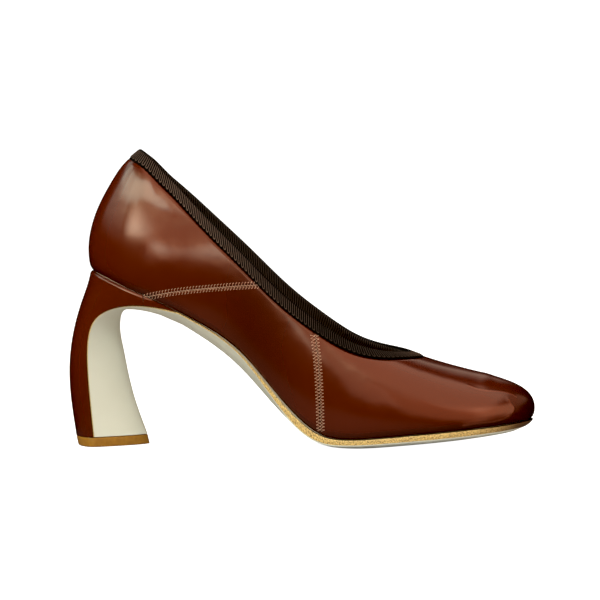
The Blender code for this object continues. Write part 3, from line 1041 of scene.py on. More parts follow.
@dataclass(frozen=True)
class Fibrous(Finish):
    """What cut leather and thread have: streaks along a run."""

    scale: float = 1.5
    stretch: tuple[float, float, float] = (1.0, 1.3, 1.0)
    fleck: float = 0.56
    streak_range: tuple[float, float] = (0.3, 0.7)
    depth: float = 0.00012
    bump_share: float = 0.6
    unevenness: float = 0.08
    source: Coordinate = Coordinate.UV

    def fibres(self, nodes: Nodes, vector: NodeSocket) -> tuple[NodeOutputs, NodeSocket, NodeSocket]:
        """Lays the streaks.

        Args:
            nodes: Nodes of the material.
            vector: Coordinates that they lie on.

        Returns:
            The outputs of their group, the bumped normal and the roughness.
        """
        sizes = {"Vector": vector, "Scale": self.scale, "Stretch": self.stretch, "Fleck": self.fleck}
        fibre = nodes.group(fibre_fleck(), sizes)
        normal = self.bump(nodes, fibre["Streaks"], self.depth, self.bump_share)
        smooth, coarse = self.roughness - self.unevenness, self.roughness + self.unevenness
        return fibre, normal, nodes.spread(fibre["Streaks"], smooth, coarse)


@dataclass(frozen=True)
class CutEdge(Fibrous):
    """Cut edge of sole leather or a stacked piece: streaks along the run and dark flecks."""

    deep: Colour = (0.36, 0.185, 0.036)
    light: Colour = (0.92, 0.61, 0.21)
    fleck_colour: Colour = (0.12, 0.048, 0.009)
    fleck_share: float = 0.7
    # Reach and depth of the darkening towards the toe tip: burnish, and painted shade where the edge turns
    # away from the light.
    edge_toe_darkening_reach: float = 0.0
    edge_toe_darkening: float = 1.7

    def material(self) -> Material:
        """Makes the cut leather.

        Returns:
            The finished material.
        """
        material, nodes, shader = self.start()
        vector = self.place(nodes, self.source)
        fibre, normal, rough = self.fibres(nodes, vector)
        streaks = nodes.spread(fibre["Streaks"], 0.0, 1.0, *self.streak_range)
        colour = nodes.mix(streaks, (*self.deep, 1.0), (*self.light, 1.0))
        flecks = nodes.math("MULTIPLY", fibre["Flecks"], self.fleck_share)
        colour = nodes.mix(flecks, colour, (*self.fleck_colour, 1.0))
        # Darker towards the toe tip along the run: burnish, and painted shade where the edge turns away from
        # the light.
        if self.edge_toe_darkening_reach:
            run = nodes.add("ShaderNodeSeparateXYZ", {0: vector}).outputs[0]
            edge_toe_darkened = nodes.spread(run, self.edge_toe_darkening, 0.0, 0.0, self.edge_toe_darkening_reach)
            colour = nodes.mix(edge_toe_darkened, colour, (*self.fleck_colour, 1.0))
        self.connect(nodes, shader, colour, rough, normal)
        return material


@dataclass(frozen=True)
class WovenThread(Fibrous):
    """Ribbon or sewing thread, with the twist of the yarn: on the ribbon, painted light on the ridges and
    painted shade in the gaps; on the thread, lighter and darker fibres.
    """

    scale: float = 9.0
    stretch: tuple[float, float, float] = (6.0, 1.0, 1.0)
    depth: float = 0.00006
    bump_share: float = 0.7
    unevenness: float = 0.1
    # Gap colour: on the ribbon a near-black painted shade between the ribs, on the thread its darker fibres.
    # Ridge colour: the ribbon's lit ribs, the thread's lighter fibres.
    gap: Colour = (0.002, 0.001, 0.0007)
    ridge: Colour = (0.230, 0.140, 0.100)
    least_share: float = 0.35
    ridge_mark: str | None = None
    ridge_low: float = 0.25
    ridge_high: float = 0.8

    def material(self) -> Material:
        """Makes the thread.

        Returns:
            The finished material.
        """
        material, nodes, shader = self.start()
        yarn, normal, rough = self.fibres(nodes, self.place(nodes, self.source))
        share = nodes.spread(yarn["Streaks"], self.least_share, 1.0, *self.streak_range)
        # On the ribbon the stored rib mark lights the ridge colour: painted light on the ribs, painted shade
        # of the near-black gap colour between them.
        if self.ridge_mark:
            ridge = nodes.attribute(self.ridge_mark)
            lit = nodes.spread(ridge, 0.0, 1.0, self.ridge_low, self.ridge_high)
            share = nodes.math("MULTIPLY", share, lit)
        colour = nodes.mix(share, (*self.gap, 1.0), (*self.ridge, 1.0))
        self.connect(nodes, shader, colour, rough, normal)
        return material


class SeamRow(NamedTuple):
    """A point of a seam in the side view, in millimetres."""

    along: float
    height: float


class StitchMark(NamedTuple):
    """A stitch within one pitch of a seam: ends by run and sideways offset, and its radius."""

    start_run: float
    start_offset: float
    end_run: float
    end_offset: float
    radius: float


@dataclass(frozen=True)
class SeamLine:
    """A sewn seam across the upper, seen from the side, with the stitches of one pitch."""

    name: str
    rows: tuple[SeamRow, ...]
    pitch: float
    marks: tuple[StitchMark, ...]

    def curve(self) -> tuple[Spline, float]:
        """Draws the seam.

        Returns:
            Its side view by distance run, and its length.
        """
        rows = np.array(self.rows)
        run = running_length(rows)
        return Spline(run, rows), float(run[-1])

    def seen(self, run: Array, offset: Array, near: float = 0.05) -> Array:
        """Finds places beside the seam.

        Args:
            run: Distances along the seam.
            offset: Sideways offsets.
            near: Step that finds the seam's direction.

        Returns:
            Side views of the places.
        """
        curve, _ = self.curve()
        along = unit_rows(curve(run + near) - curve(run - near))
        return curve(run) + np.asarray(offset)[:, None] * np.column_stack([-along[:, 1], along[:, 0]])

    def distance(self, last: LastForm, places: Array, reach: float = 8.0, samples: int = 60) -> Array:
        """Measures how far places on the skin are from the seam, on both sides of the shoe.

        Args:
            last: The form of the shoe.
            places: Places on the skin.
            reach: Largest distance that is told apart.
            samples: Points along the seam.

        Returns:
            Distances in millimetres.
        """
        _, length = self.curve()
        seen = self.seen(np.linspace(0.0, length, samples), np.zeros(samples))
        best = np.full(len(places), reach)
        for side in Side:
            line = last.point(*last.locate(seen, side))
            for start, end in zip(line[:-1], line[1:]):
                leg = end - start
                share = held((places - start) @ leg / (leg @ leg))
                best = np.minimum(best, np.linalg.norm(places - start - share[:, None] * leg, axis=1))
        return best


COUNTER_SEAM = SeamLine(
    name="counter_seam",
    rows=(
        SeamRow(38.4, 71.0), SeamRow(41.0, 71.8), SeamRow(46.0, 72.9), SeamRow(58.5, 74.8),
        SeamRow(69.0, 75.8), SeamRow(80.5, 76.8), SeamRow(93.0, 77.6),
    ),
    pitch=1.45,
    marks=(
        StitchMark(0.0, 0.10, 1.42, 0.10, 0.14),
        StitchMark(0.25, 1.20, 1.00, 1.75, 0.17),
        StitchMark(0.10, 0.20, 0.45, 1.10, 0.10),
        StitchMark(1.05, -1.10, 0.45, -1.55, 0.16),
        StitchMark(1.25, -0.10, 0.95, -1.05, 0.10),
    ),
)
VAMP_SEAM = SeamLine(
    name="vamp_seam",
    rows=(
        SeamRow(119.8, 55.5), SeamRow(121.2, 46.3), SeamRow(122.6, 31.0), SeamRow(123.1, 18.0),
        SeamRow(123.2, 9.5),
    ),
    pitch=1.56,
    marks=(
        StitchMark(0.0, -1.60, 0.36, -1.90, 0.24),
        StitchMark(0.2, -1.60, 0.80, -0.20, 0.11),
        StitchMark(0.8, -0.20, 1.55, -1.60, 0.11),
        StitchMark(0.50, -0.10, 1.10, 0.10, 0.22),
        StitchMark(0.2, 0.15, 0.90, 1.50, 0.11),
        StitchMark(1.0, 1.50, 1.65, 0.15, 0.11),
        StitchMark(0.76, 1.85, 1.10, 1.45, 0.24),
    ),
)


class Crease(NamedTuple):
    """A soft trough or ridge on a side of the upper, along a line seen from the side."""

    side: Side
    relief: float
    width: float
    rows: tuple[SeamRow, ...]


TOE_RING = (
    SeamRow(189.5, 13.0), SeamRow(198.9, 14.2), SeamRow(205.1, 14.7), SeamRow(209.6, 16.1),
    SeamRow(212.3, 18.5), SeamRow(212.6, 20.2), SeamRow(211.2, 22.1), SeamRow(210.4, 23.8),
)
TOE_BROW = (
    SeamRow(191.7, 30.7), SeamRow(198.0, 28.5), SeamRow(204.4, 27.7), SeamRow(209.2, 26.8),
    SeamRow(212.4, 25.4), SeamRow(213.7, 24.5),
)
TOE_LINES = ((0.12, TOE_RING), (0.10, TOE_BROW))
CREASES = (
    Crease(Side.OUTER, -0.10, 1.8, (SeamRow(175.0, 28.6), SeamRow(184.5, 24.0))),
    Crease(Side.OUTER, 0.07, 2.4, (SeamRow(171.0, 25.5), SeamRow(180.0, 21.0))),
    Crease(Side.OUTER, -0.10, 4.0, (SeamRow(148.0, 27.0), SeamRow(156.0, 17.0))),
    Crease(Side.OUTER, 0.08, 4.5, (SeamRow(136.0, 24.0), SeamRow(142.0, 13.0))),
    Crease(Side.OUTER, -0.10, 7.0, (SeamRow(24.0, 111.0), SeamRow(52.0, 107.0))),
    *(Crease(side, height, 1.0, line) for side in Side for height, line in TOE_LINES),
    Crease(Side.INNER, -0.12, 2.2, (SeamRow(168.0, 29.0), SeamRow(178.0, 23.0))),
    Crease(Side.INNER, 0.08, 2.6, (SeamRow(162.0, 27.0), SeamRow(172.0, 20.0))),
    Crease(Side.INNER, -0.12, 4.0, (SeamRow(146.0, 28.0), SeamRow(154.0, 17.0))),
)


@dataclass
class Upper:
    """The leather upper: one wall drawn over the last, glossy outside and lined inside."""

    last: LastForm
    leather: GlossLeather
    lining: SoftLeather
    wall: float = WALL
    around: int = 480
    rise: int = 74
    toe_crowding: float = 0.5
    puff_along: float = 199.5
    puff_relief: float = 0.22
    puff_width: float = 3.2
    roll_height: float = 3.2
    roll_depth: float = 0.75
    crown_start: float = 0.3
    crown_rise: float = 0.2
    ribbon_width: float = RIBBON_WIDTH
    press_depth: float = 0.45
    press_fade: float = 1.1
    press_ease: float = 0.6
    back_fill: float = 0.9
    back_fill_depth: float = 10.0
    back_reach: float = 20.0
    tip_fill: float = 0.8
    tip_height: float = 12.0
    tip_reach: float = 14.0
    burnish_height: float = 3.4
    burnish_toe: float = 9.0
    burnish_waist: float = 0.60
    waist_along: float = 92.0
    waist_reach: float = 22.0
    sharp_angle: float = 45.0

    def relief(self, places: Array, u: Array, v: Array) -> Array:
        """Adds up the soft forms on the wall.

        Args:
            places: Places on the skin.
            u: Places round the shoe.
            v: Shares of the way up the wall.

        Returns:
            Heights above the last in millimetres.
        """
        raised = places[:, 2] - self.last.point(u, 0.0)[:, 2]
        roll = held(1.0 - raised / self.roll_height)
        height = -self.roll_depth * roll**2
        depth = self.last.depths_below_top(u, v)
        back = self.last.at_back(u, self.back_reach)
        step = held(1.0 - (depth - self.ribbon_width) / self.press_fade)
        height -= self.press_depth * (1.0 - self.press_ease * back) * step * step * (3.0 - 2.0 * step)
        height += self.back_fill * back * bell(depth - self.back_fill_depth, self.back_fill_depth)
        crown = held((v - self.crown_start) / self.crown_rise)
        height += self.puff_relief * crown * bell(places[:, 0] - self.puff_along, self.puff_width)
        for crease in CREASES:
            height += crease.relief * bell(self.distance_to(crease, places), crease.width)
        tip = bell(u - self.last.toe, self.tip_reach) * bell(raised - self.tip_height, self.tip_height)
        return height + self.tip_fill * tip

    def distance_to(self, crease: Crease, places: Array, step: float = 0.5) -> Array:
        """Measures how far places on the skin lie from the line of a crease.

        Args:
            crease: The crease.
            places: Places on the skin.
            step: Distance between the points of its line.

        Returns:
            Distances in millimetres.
        """
        rows = np.array(crease.rows)
        run = running_length(rows)
        seen = Spline(run, rows)(np.arange(0.0, run[-1] + step / 2.0, step))
        line = self.last.point(*self.last.locate(seen, crease.side))
        return np.min([np.linalg.norm(places - point, axis=1) for point in line], axis=0)

    def build(self) -> Object:
        """Models the wall.

        Returns:
            The finished piece.
        """
        skin = Bench.grid("upper_skin", self.around, self.rise)
        across, v = Bench.shares(skin)
        crowded = across + self.toe_crowding * np.sin(2.0 * math.pi * across) / (2.0 * math.pi)
        u = crowded * self.last.period
        places = self.last.point(u, v)
        Bench.lay(skin, places + self.relief(places, u, v)[:, None] * self.last.normal(u, v))
        for seam in (COUNTER_SEAM, VAMP_SEAM):
            Bench.mark(skin, seam.name, seam.distance(self.last, places))
        # Distance to the toe's puff lines, where a painted highlight is laid.
        lines = [crease for crease in CREASES if crease.rows in (TOE_RING, TOE_BROW)]
        Bench.mark(skin, "toe_line", np.min([self.distance_to(line, places) for line in lines], axis=0))
        # Painted shade: a darker band along the feather edge and a patch on the waist, where less light
        # falls; the leather is also darker at the toe tip.
        low = bell(places[:, 2] - self.last.point(u, 0.0)[:, 2], self.burnish_height)
        tip = bell(SECTIONS[-1].along * self.last.length - places[:, 0], self.burnish_toe)
        waist = self.burnish_waist * bell(places[:, 0] - self.waist_along, self.waist_reach)
        Bench.mark(skin, "burnish", np.maximum(np.maximum(low, tip), waist))
        Bench.close(skin)
        skin.data.materials.append(self.leather.material())
        skin.data.materials.append(self.lining.material())
        Bench.apply(
            skin,
            "SOLIDIFY",
            thickness=self.wall * MM,
            offset=-1.0,
            use_even_offset=True,
            use_quality_normals=True,
            material_offset=1,
            material_offset_rim=0,
        )
        Bench.finish(skin, self.sharp_angle, "upper_leather", "upper")
        return skin


@dataclass
class SeamWork:
    """The stitches along both seams, on both sides of the upper."""

    last: LastForm
    thread: WovenThread
    sunk: float = 0.02
    ends_clear: float = 0.6
    segments: int = 8
    bands: int = 6
    end_press: float = 1.15
    sharp_angle: float = 80.0

    def stitch(self) -> tuple[Array, list[tuple[int, ...]]]:
        """Models one stitch of unit size, lying along z.

        Returns:
            Its points and its faces, in an order that is the same each run.
        """
        bpy.ops.object.select_all(action="DESELECT")
        bpy.ops.mesh.primitive_uv_sphere_add(segments=self.segments, ring_count=self.bands, radius=1.0)
        item = bpy.context.active_object
        bpy.ops.object.mode_set(mode="EDIT")
        bpy.ops.transform.resize(value=(1.0, 1.0, self.end_press))
        bpy.ops.object.mode_set(mode="OBJECT")
        points = np.array([tuple(vertex.co) for vertex in item.data.vertices])
        points[:, 2] = np.clip(points[:, 2], -1.0, 1.0)
        order = np.lexsort(np.round(points, 6).T)
        number = np.argsort(order).tolist()
        faces = []
        for face in item.data.polygons:
            corners = [number[corner] for corner in face.vertices]
            first = corners.index(min(corners))
            faces.append((*corners[first:], *corners[:first]))
        bpy.data.objects.remove(item, do_unlink=True)
        return points[order], sorted(faces)

    def row(self, seam: SeamLine, mark: StitchMark, side: Side) -> tuple[Array, Array, Array]:
        """Places one mark of a seam along its run.

        Args:
            seam: The seam.
            mark: The stitch within one pitch.
            side: The side of the shoe.

        Returns:
            The stitches' first ends, last ends and outward directions.
        """
        _, length = seam.curve()
        starts = np.arange(self.ends_clear, length - self.ends_clear, seam.pitch)
        ends = []
        for run, offset in ((mark.start_run, mark.start_offset), (mark.end_run, mark.end_offset)):
            seen = seam.seen(starts + run, np.full(len(starts), offset))
            u, v = self.last.locate(seen, side)
            ends.append((self.last.point(u, v), self.last.normal(u, v)))
        (first, first_out), (last, last_out) = ends
        return first, last, unit_rows(first_out + last_out)

    def build(self) -> Object:
        """Joins copies of the stitch into one piece.

        Returns:
            The finished piece.
        """
        shape, shape_faces = self.stitch()
        points: list[Array] = []
        faces: list[tuple[int, ...]] = []
        for seam in (COUNTER_SEAM, VAMP_SEAM):
            for mark in seam.marks:
                for side in Side:
                    for first, last, out in zip(*self.row(seam, mark, side)):
                        run = (last - first) / 2.0
                        across = np.cross(out, run / np.linalg.norm(run))
                        axes = np.array([across * mark.radius, out * mark.radius, run])
                        base = len(points) * len(shape)
                        points.append((first + last) / 2.0 - self.sunk * out + shape @ axes)
                        faces += [tuple(base + corner for corner in face) for face in shape_faces]
        mesh = bpy.data.meshes.new("seam_thread")
        placed = (np.vstack(points) - [MIDDLE, 0.0, 0.0]) * MM
        mesh.from_pydata(placed.tolist(), [], faces)
        mesh.materials.append(self.thread.material())
        item = bpy.data.objects.new("seam_thread", mesh)
        bpy.context.scene.collection.objects.link(item)
        Bench.close(item, caps=True)
        Bench.finish(item, self.sharp_angle, None)
        return item


class FoldRow(NamedTuple):
    """A point of the ribbon's cross section: depth below the top edge, offset from the leather's skin."""

    depth: float
    offset: float
    ribs: float


@dataclass
class CollarRibbon:
    """Ribbed ribbon folded over the top edge, with looped ribs outside and plain ribs inside."""

    last: LastForm
    cloth: WovenThread
    width: float = RIBBON_WIDTH
    outside: float = 0.30
    inside: float = -2.55
    thickness: float = 0.6
    fold_rise: float = 0.9
    fold_sink: float = 0.25
    hem_lip: float = 0.05
    hem_tuck: float = 0.25
    hem_clear: float = 0.1
    hem_reach: float = 0.2
    inner_tuck: float = 0.3
    wall: float = WALL
    loop_pitch: float = 2.37
    columns_per_loop: int = 12
    rib_height: float = 0.34
    rib_width: float = 0.25
    loop_depth: float = 4.75
    loop_clear: float = 0.2
    rib_clear: float = 0.5
    loop_rows: int = 13
    rib_rows: int = 10
    fold_rows: int = 9
    inner_rows: int = 11
    fold_ribs: float = 0.7
    inner_ribs: float = 0.8
    inner_ridge: float = 0.8
    ridge_end: float = 0.4
    ridge_fade: float = 0.5
    fold_top: float = 0.35
    fold_low: float = 0.9
    fold_ridge: float = 0.35
    scallop: float = 0.12
    shade_start: float = 70.0
    shade_end: float = 125.0
    shade: float = 0.5
    back_shade: float = 0.45
    back_lift: float = 0.6
    sharp_angle: float = 80.0

    def section(self) -> list[FoldRow]:
        """Draws the ribbon's cross section.

        Returns:
            Its points, from the outer hem over the fold and back inside the wall.
        """
        outside, inside = self.outside, self.inside
        pressed, lined = outside - self.thickness, inside + self.thickness
        middle = (outside + inside) / 2.0
        half = (outside - inside) / 2.0
        hem, lip = self.width - self.hem_clear, self.width + self.hem_lip
        loops = np.linspace(hem, self.loop_depth - self.loop_clear, self.loop_rows)
        straight = np.linspace(self.loop_depth - self.rib_clear, 0.0, self.rib_rows)
        rows = [FoldRow(self.width, pressed, 0.0), FoldRow(lip, outside - self.hem_tuck, 0.0)]
        rows += [FoldRow(depth, outside, 1.0) for depth in (*loops, *straight)]
        for turn in np.linspace(0.0, math.pi, self.fold_rows)[1:-1]:
            rise, offset = self.fold_rise * math.sin(turn), middle + half * math.cos(turn)
            rows.append(FoldRow(-rise, offset, self.fold_ribs))
        rows += [FoldRow(depth, inside, self.inner_ribs) for depth in np.linspace(0.0, hem, self.inner_rows)]
        rows += [FoldRow(lip, inside + self.inner_tuck, 0.0), FoldRow(self.width, lined, 0.0)]
        rows += [FoldRow(0.0, lined, 0.0), FoldRow(-self.fold_sink, middle, 0.0), FoldRow(0.0, pressed, 0.0)]
        return rows + rows[:1]

    def round_collar(self, samples: int = 1500) -> tuple[Spline, float]:
        """Measures the collar.

        Args:
            samples: Points round it.

        Returns:
            The place round the shoe by distance run along the ribbon, and the whole run.
        """
        u = np.linspace(0.0, self.last.period, samples)
        shares = self.last.shares_at_depths(u, np.array([self.width / 2.0]))[:, 0]
        run = running_length(self.last.point(u, shares))
        return Spline(run, u), float(run[-1])

    def ridge(self, run: Array, depth: Array, outside: Array) -> Array:
        """Says how high the ribs stand.

        Args:
            run: Distance along the ribbon.
            depth: Depth below the top edge.
            outside: Whether a point is on the outer leg.

        Returns:
            Shares of the full rib height.
        """
        local = (run + self.loop_pitch / 2.0) % self.loop_pitch - self.loop_pitch / 2.0
        quarter = self.loop_pitch / 4.0
        straight = np.abs(np.abs(local) - quarter)
        turned = np.abs(np.hypot(local, depth - self.loop_depth) - quarter)
        away = np.where(outside & (depth > self.loop_depth), turned, straight)
        fade = held((self.width - self.ridge_end - depth) / self.ridge_fade)
        rise = (depth + self.fold_low) / (self.fold_top + self.fold_low)
        top = np.where(outside, np.clip(rise, self.fold_ridge, 1.0), self.inner_ridge)
        return bell(away, self.rib_width) * fade * top

    def build(self) -> Object:
        """Models the ribbon.

        Returns:
            The finished piece.
        """
        curve, whole = self.round_collar()
        loops = round(whole / self.loop_pitch)
        columns = loops * self.columns_per_loop
        rows = np.array(self.section())
        u = curve(np.linspace(0.0, whole, columns + 1))[:, 0]
        depths = np.maximum(rows[:, 0], 0.0)
        shares = self.last.shares_at_depths(u, depths)
        crown = self.last.point(u, 1.0)
        upward = unit_rows(crown - self.last.point(u, 1.0 - self.last.near))
        run = np.arange(columns + 1) * (loops * self.loop_pitch / columns)
        back = self.last.at_back(u, Upper.back_reach)
        # Painted shade: the outer leg's lit ribs are dimmed towards the vamp's front and at the back.
        darker = held((crown[:, 0] - self.shade_start) / (self.shade_end - self.shade_start))
        darker = self.shade * darker + self.back_shade * back
        lines, marks = [], []
        for j, (depth, offset, ribs) in enumerate(rows):
            normal = self.last.normal(u, shares[:, j])
            outer_leg = np.full(len(u), offset > (self.outside + self.inside) / 2.0)
            lifted = self.ridge(run, np.full(len(u), depth), outer_leg) * ribs
            face = np.sign(offset + self.wall / 2.0) if depth >= 0.0 else offset / self.width
            hem = self.scallop * np.cos(2.0 * math.pi * run / self.loop_pitch)
            hem *= depth > self.width - self.hem_reach
            rise = max(-depth, 0.0) + (self.rib_height * lifted if depth < 0.0 else 0.0)
            leg = held((offset - self.inside) / (self.outside - self.inside))
            filled = bell(depths[j] - Upper.back_fill_depth, Upper.back_fill_depth)
            fill = self.back_lift * leg * back * filled
            lift = offset + fill + face * self.rib_height * lifted
            place = self.last.point(u, shares[:, j]) + lift[:, None] * normal
            lines.append(place + (rise - hem)[:, None] * upward)
            marks.append(lifted * np.where(outer_leg, 1.0 - darker, 1.0))
        ribbon, i, j = Bench.lattice("collar_ribbon", columns, len(rows) - 1)
        Bench.lay(ribbon, np.array(lines)[j, i])
        Bench.mark(ribbon, "rib", np.array(marks)[j, i])
        Bench.lay_uv(ribbon, run[i], running_length(rows[:, :2])[j])
        Bench.close(ribbon)
        ribbon.data.materials.append(self.cloth.material())
        Bench.finish(ribbon, self.sharp_angle, "ribbon", "collar_binding")
        return ribbon


@dataclass
class SockLining:
    """Lining leather on the insole, seen through the collar."""

    last: LastForm
    leather: SoftLeather
    wall: float = WALL
    clearance: float = -0.3
    thickness: float = 1.4
    sunk: float = 0.3
    cushion: float = 0.5
    end_turn: float = 0.012
    along: int = 120
    across: int = 26
    bevel: float = 0.35
    bevel_faces: int = 2
    sharp_angle: float = 50.0

    def build(self) -> Object:
        """Models the sock.

        Returns:
            The finished piece.
        """
        inset = self.wall + self.clearance
        back = SECTIONS[0].along * self.last.length + inset
        front = SECTIONS[-1].along * self.last.length - inset
        sole_back = SOLE_FORM[0].along * self.last.length
        sock = Bench.grid("sock_lining", self.along, self.across)
        share, over = Bench.shares(sock)
        turn = (self.end_turn + (1.0 - 2.0 * self.end_turn) * share) * math.pi
        x = back + (front - back) * (1.0 - np.cos(turn)) / 2.0
        outer, inner = self.last.half_widths(x, inset)
        side = np.sin((over - 0.5) * math.pi)
        y = np.where(side < 0.0, side * outer, side * inner)
        form = self.last.sole(np.maximum(x, sole_back))
        sink = np.where(x > sole_back, form[:, 1] * np.maximum(form[:, 2], 0.0), 0.0)
        raised = self.thickness - sink * (1.0 - side**2) + self.cushion * (1.0 - side**4) - self.sunk
        Bench.lay(sock, np.column_stack([x, y, self.last.feather_height(x) + raised]))
        Bench.close(sock)
        sock.data.materials.append(self.leather.material())
        Bench.apply(sock, "SOLIDIFY", thickness=(self.thickness - self.sunk) * MM, offset=-1.0)
        Bench.bevel(sock, self.bevel, self.bevel_faces, self.sharp_angle)
        Bench.finish(sock, self.sharp_angle, "lining", "insole")
        return sock


class SoleFace(Enum):
    """The material slots of the sole."""

    CREAM = 0
    EDGE = 1
    # Top face under the upper's edge, painted near black as the crevice's shade.
    FEATHER = 2


@dataclass
class LeatherSole:
    """Sole from the toe along the waist and down the heel's breast: cream below, cut edge at the side."""

    last: LastForm
    cream: SoftLeather
    edge: CutEdge
    # Near-black finish of the top face: painted shade under the upper's edge.
    feather: SoftLeather
    gap: float = SEAT_GAP
    breast_gap: float = BREAST_GAP
    proud: float = 0.5
    leather: float = 1.3
    breast_edge: float = 1.0
    full_dome_width: float = 36.0
    toe_depth: float = 16.0
    corner: float = 0.3
    corner_share: float = 0.3
    bulge_power: float = 4.0
    bare_columns: int = -1
    toe_start: float = 0.02
    toe_round: float = 3.2
    toe_round_reach: float = 1.3
    toe_round_power: float = 1.6
    toe_cuts: int = 34
    foot_cuts: int = 170
    breast_cuts: int = 110
    across_top: int = 9
    across_edge: int = 7
    across_bottom: int = 41
    sharp_angle: float = 40.0

    def ring(
        self, edge: Array, ridge: Array, sizes: tuple[float, ...], halves: tuple[float, float]
    ) -> Array:
        """Draws one ring across the sole.

        Args:
            edge: Side view of the side edge's top.
            ridge: Side view of the middle of the underside.
            sizes: Clearance, edge thickness, hollow and fullness.
            halves: Half widths, outer side and inner side.

        Returns:
            Points over the top, down one edge, across the underside and up the other edge.
        """
        clearance, thickness, hollow, fullness = sizes
        depth = np.linalg.norm(ridge - edge)
        down = (ridge - edge) / depth
        corner = min(self.corner, min(halves) * self.corner_share)

        def face(count: int, start: float, curve: float) -> tuple[Array, Array]:
            """Draws the top or the underside.

            Args:
                count: Points across.
                start: Depth at the sides.
                curve: How much deeper the middle lies.

            Returns:
                Sideways places and depths.
            """
            side = np.sin(np.linspace(-0.5, 0.5, count) * math.pi)
            bow = 1.0 - np.abs(side) ** fullness
            y = np.where(side < 0.0, side * (halves[0] - corner), side * (halves[1] - corner))
            return y, start + bow * curve

        top_y, top_depth = face(self.across_top, clearance, hollow * depth)
        low_y, low_depth = face(self.across_bottom, thickness, depth - thickness)
        step = np.linspace(0.0, 1.0, self.across_edge)[1:-1]
        bulge = corner * (1.0 - np.abs(2.0 * step - 1.0) ** self.bulge_power)
        edge_depth = clearance + step * (thickness - clearance)
        y = np.concatenate([top_y, top_y[-1] + bulge, low_y[::-1], top_y[0] - bulge[::-1], top_y[:1]])
        depths = np.concatenate([top_depth, edge_depth, low_depth[::-1], edge_depth[::-1], top_depth[:1]])
        seen = edge + np.outer(depths, down)
        return np.column_stack([seen[:, 0], y, np.maximum(seen[:, 1], 0.0)])

    def foot_rings(self) -> list[Array]:
        """Draws the sole under the foot.

        Returns:
            Rings from the toe to the front of the seat.
        """
        tip = SECTIONS[-1].along * self.last.length + self.proud
        turn = np.linspace(self.toe_start, 0.5, self.toe_cuts) * math.pi
        toe = tip - self.toe_depth * (1.0 - np.cos(turn))
        seat_front = SOLE_FORM[0].along * self.last.length
        places = np.concatenate([toe, np.linspace(toe[-1], seat_front, self.foot_cuts)[1:]])
        outer, inner = self.last.half_widths(places, -self.proud)
        rings = []
        for i, x in enumerate(places):
            thickness, keel, hollow, fullness = self.last.sole(x)[0]
            keel = thickness + (keel - thickness) * min(1.0, (outer[i] + inner[i]) / self.full_dome_width)
            edge = np.array([x, self.last.feather_height(x)[0]])
            sizes = (self.gap, thickness, max(hollow, 0.0), fullness)
            ring = self.ring(edge, edge - [0.0, keel], sizes, (outer[i], inner[i]))
            near = held(1.0 - (tip - x) / self.toe_depth) ** 2
            below = np.clip((edge[1] - self.gap - ring[:, 2]) / thickness, 0.0, self.toe_round_reach)
            ring[:, 0] -= self.toe_round * near * below**self.toe_round_power
            rings.append(ring)
        return rings

    @staticmethod
    def breast_curve() -> tuple[Spline, float]:
        """Draws the heel's breast.

        Returns:
            Its rows by distance run down the side edge, and the whole run.
        """
        table = np.array(BREAST)
        run = running_length(table[:, 0:2])
        return Spline(run, table), float(run[-1])

    def breast_rings(self) -> list[Array]:
        """Draws the sole on the heel's breast.

        Returns:
            Rings from the wedge down to the foot of the heel.
        """
        curve, length = self.breast_curve()
        rings = []
        for row in curve(np.linspace(0.0, length, self.breast_cuts)):
            edge, ridge = row[0:2], row[2:4]
            depth = np.linalg.norm(ridge - edge)
            sizes = (self.breast_gap, self.breast_edge, (depth - self.leather) / depth, row[5])
            rings.append(self.ring(edge, ridge, sizes, (row[4], row[4])))
        return rings

    def build(self) -> Object:
        """Models the sole.

        Returns:
            The finished piece.
        """
        rings = np.array(self.foot_rings() + self.breast_rings())
        sole, i, j = Bench.lattice("leather_sole", len(rings) - 1, rings.shape[1] - 1)
        Bench.lay(sole, rings[i, j])
        run = running_length(rings[:, 0])
        Bench.lay_uv(sole, run[i], running_length(rings[len(rings) // 3])[j])
        first = self.across_top - 1
        second = first + self.across_edge - 1 + self.bare_columns
        third = second + self.across_bottom - 1 - 2 * self.bare_columns
        for finish in (self.cream, self.edge, self.feather):
            sole.data.materials.append(finish.material())
        cream, edge, feather = (face.value for face in SoleFace)
        Bench.paint_faces(
            sole,
            j.astype(float),
            lambda at: np.select([at < first, (at < second) | (at > third)], [feather, edge], cream),
        )
        Bench.close(sole, caps=True)
        for face in sole.data.polygons:
            if len(face.vertices) > 4:
                face.material_index = edge
        Bench.finish(sole, self.sharp_angle, "sole_leather", "outsole")
        return sole


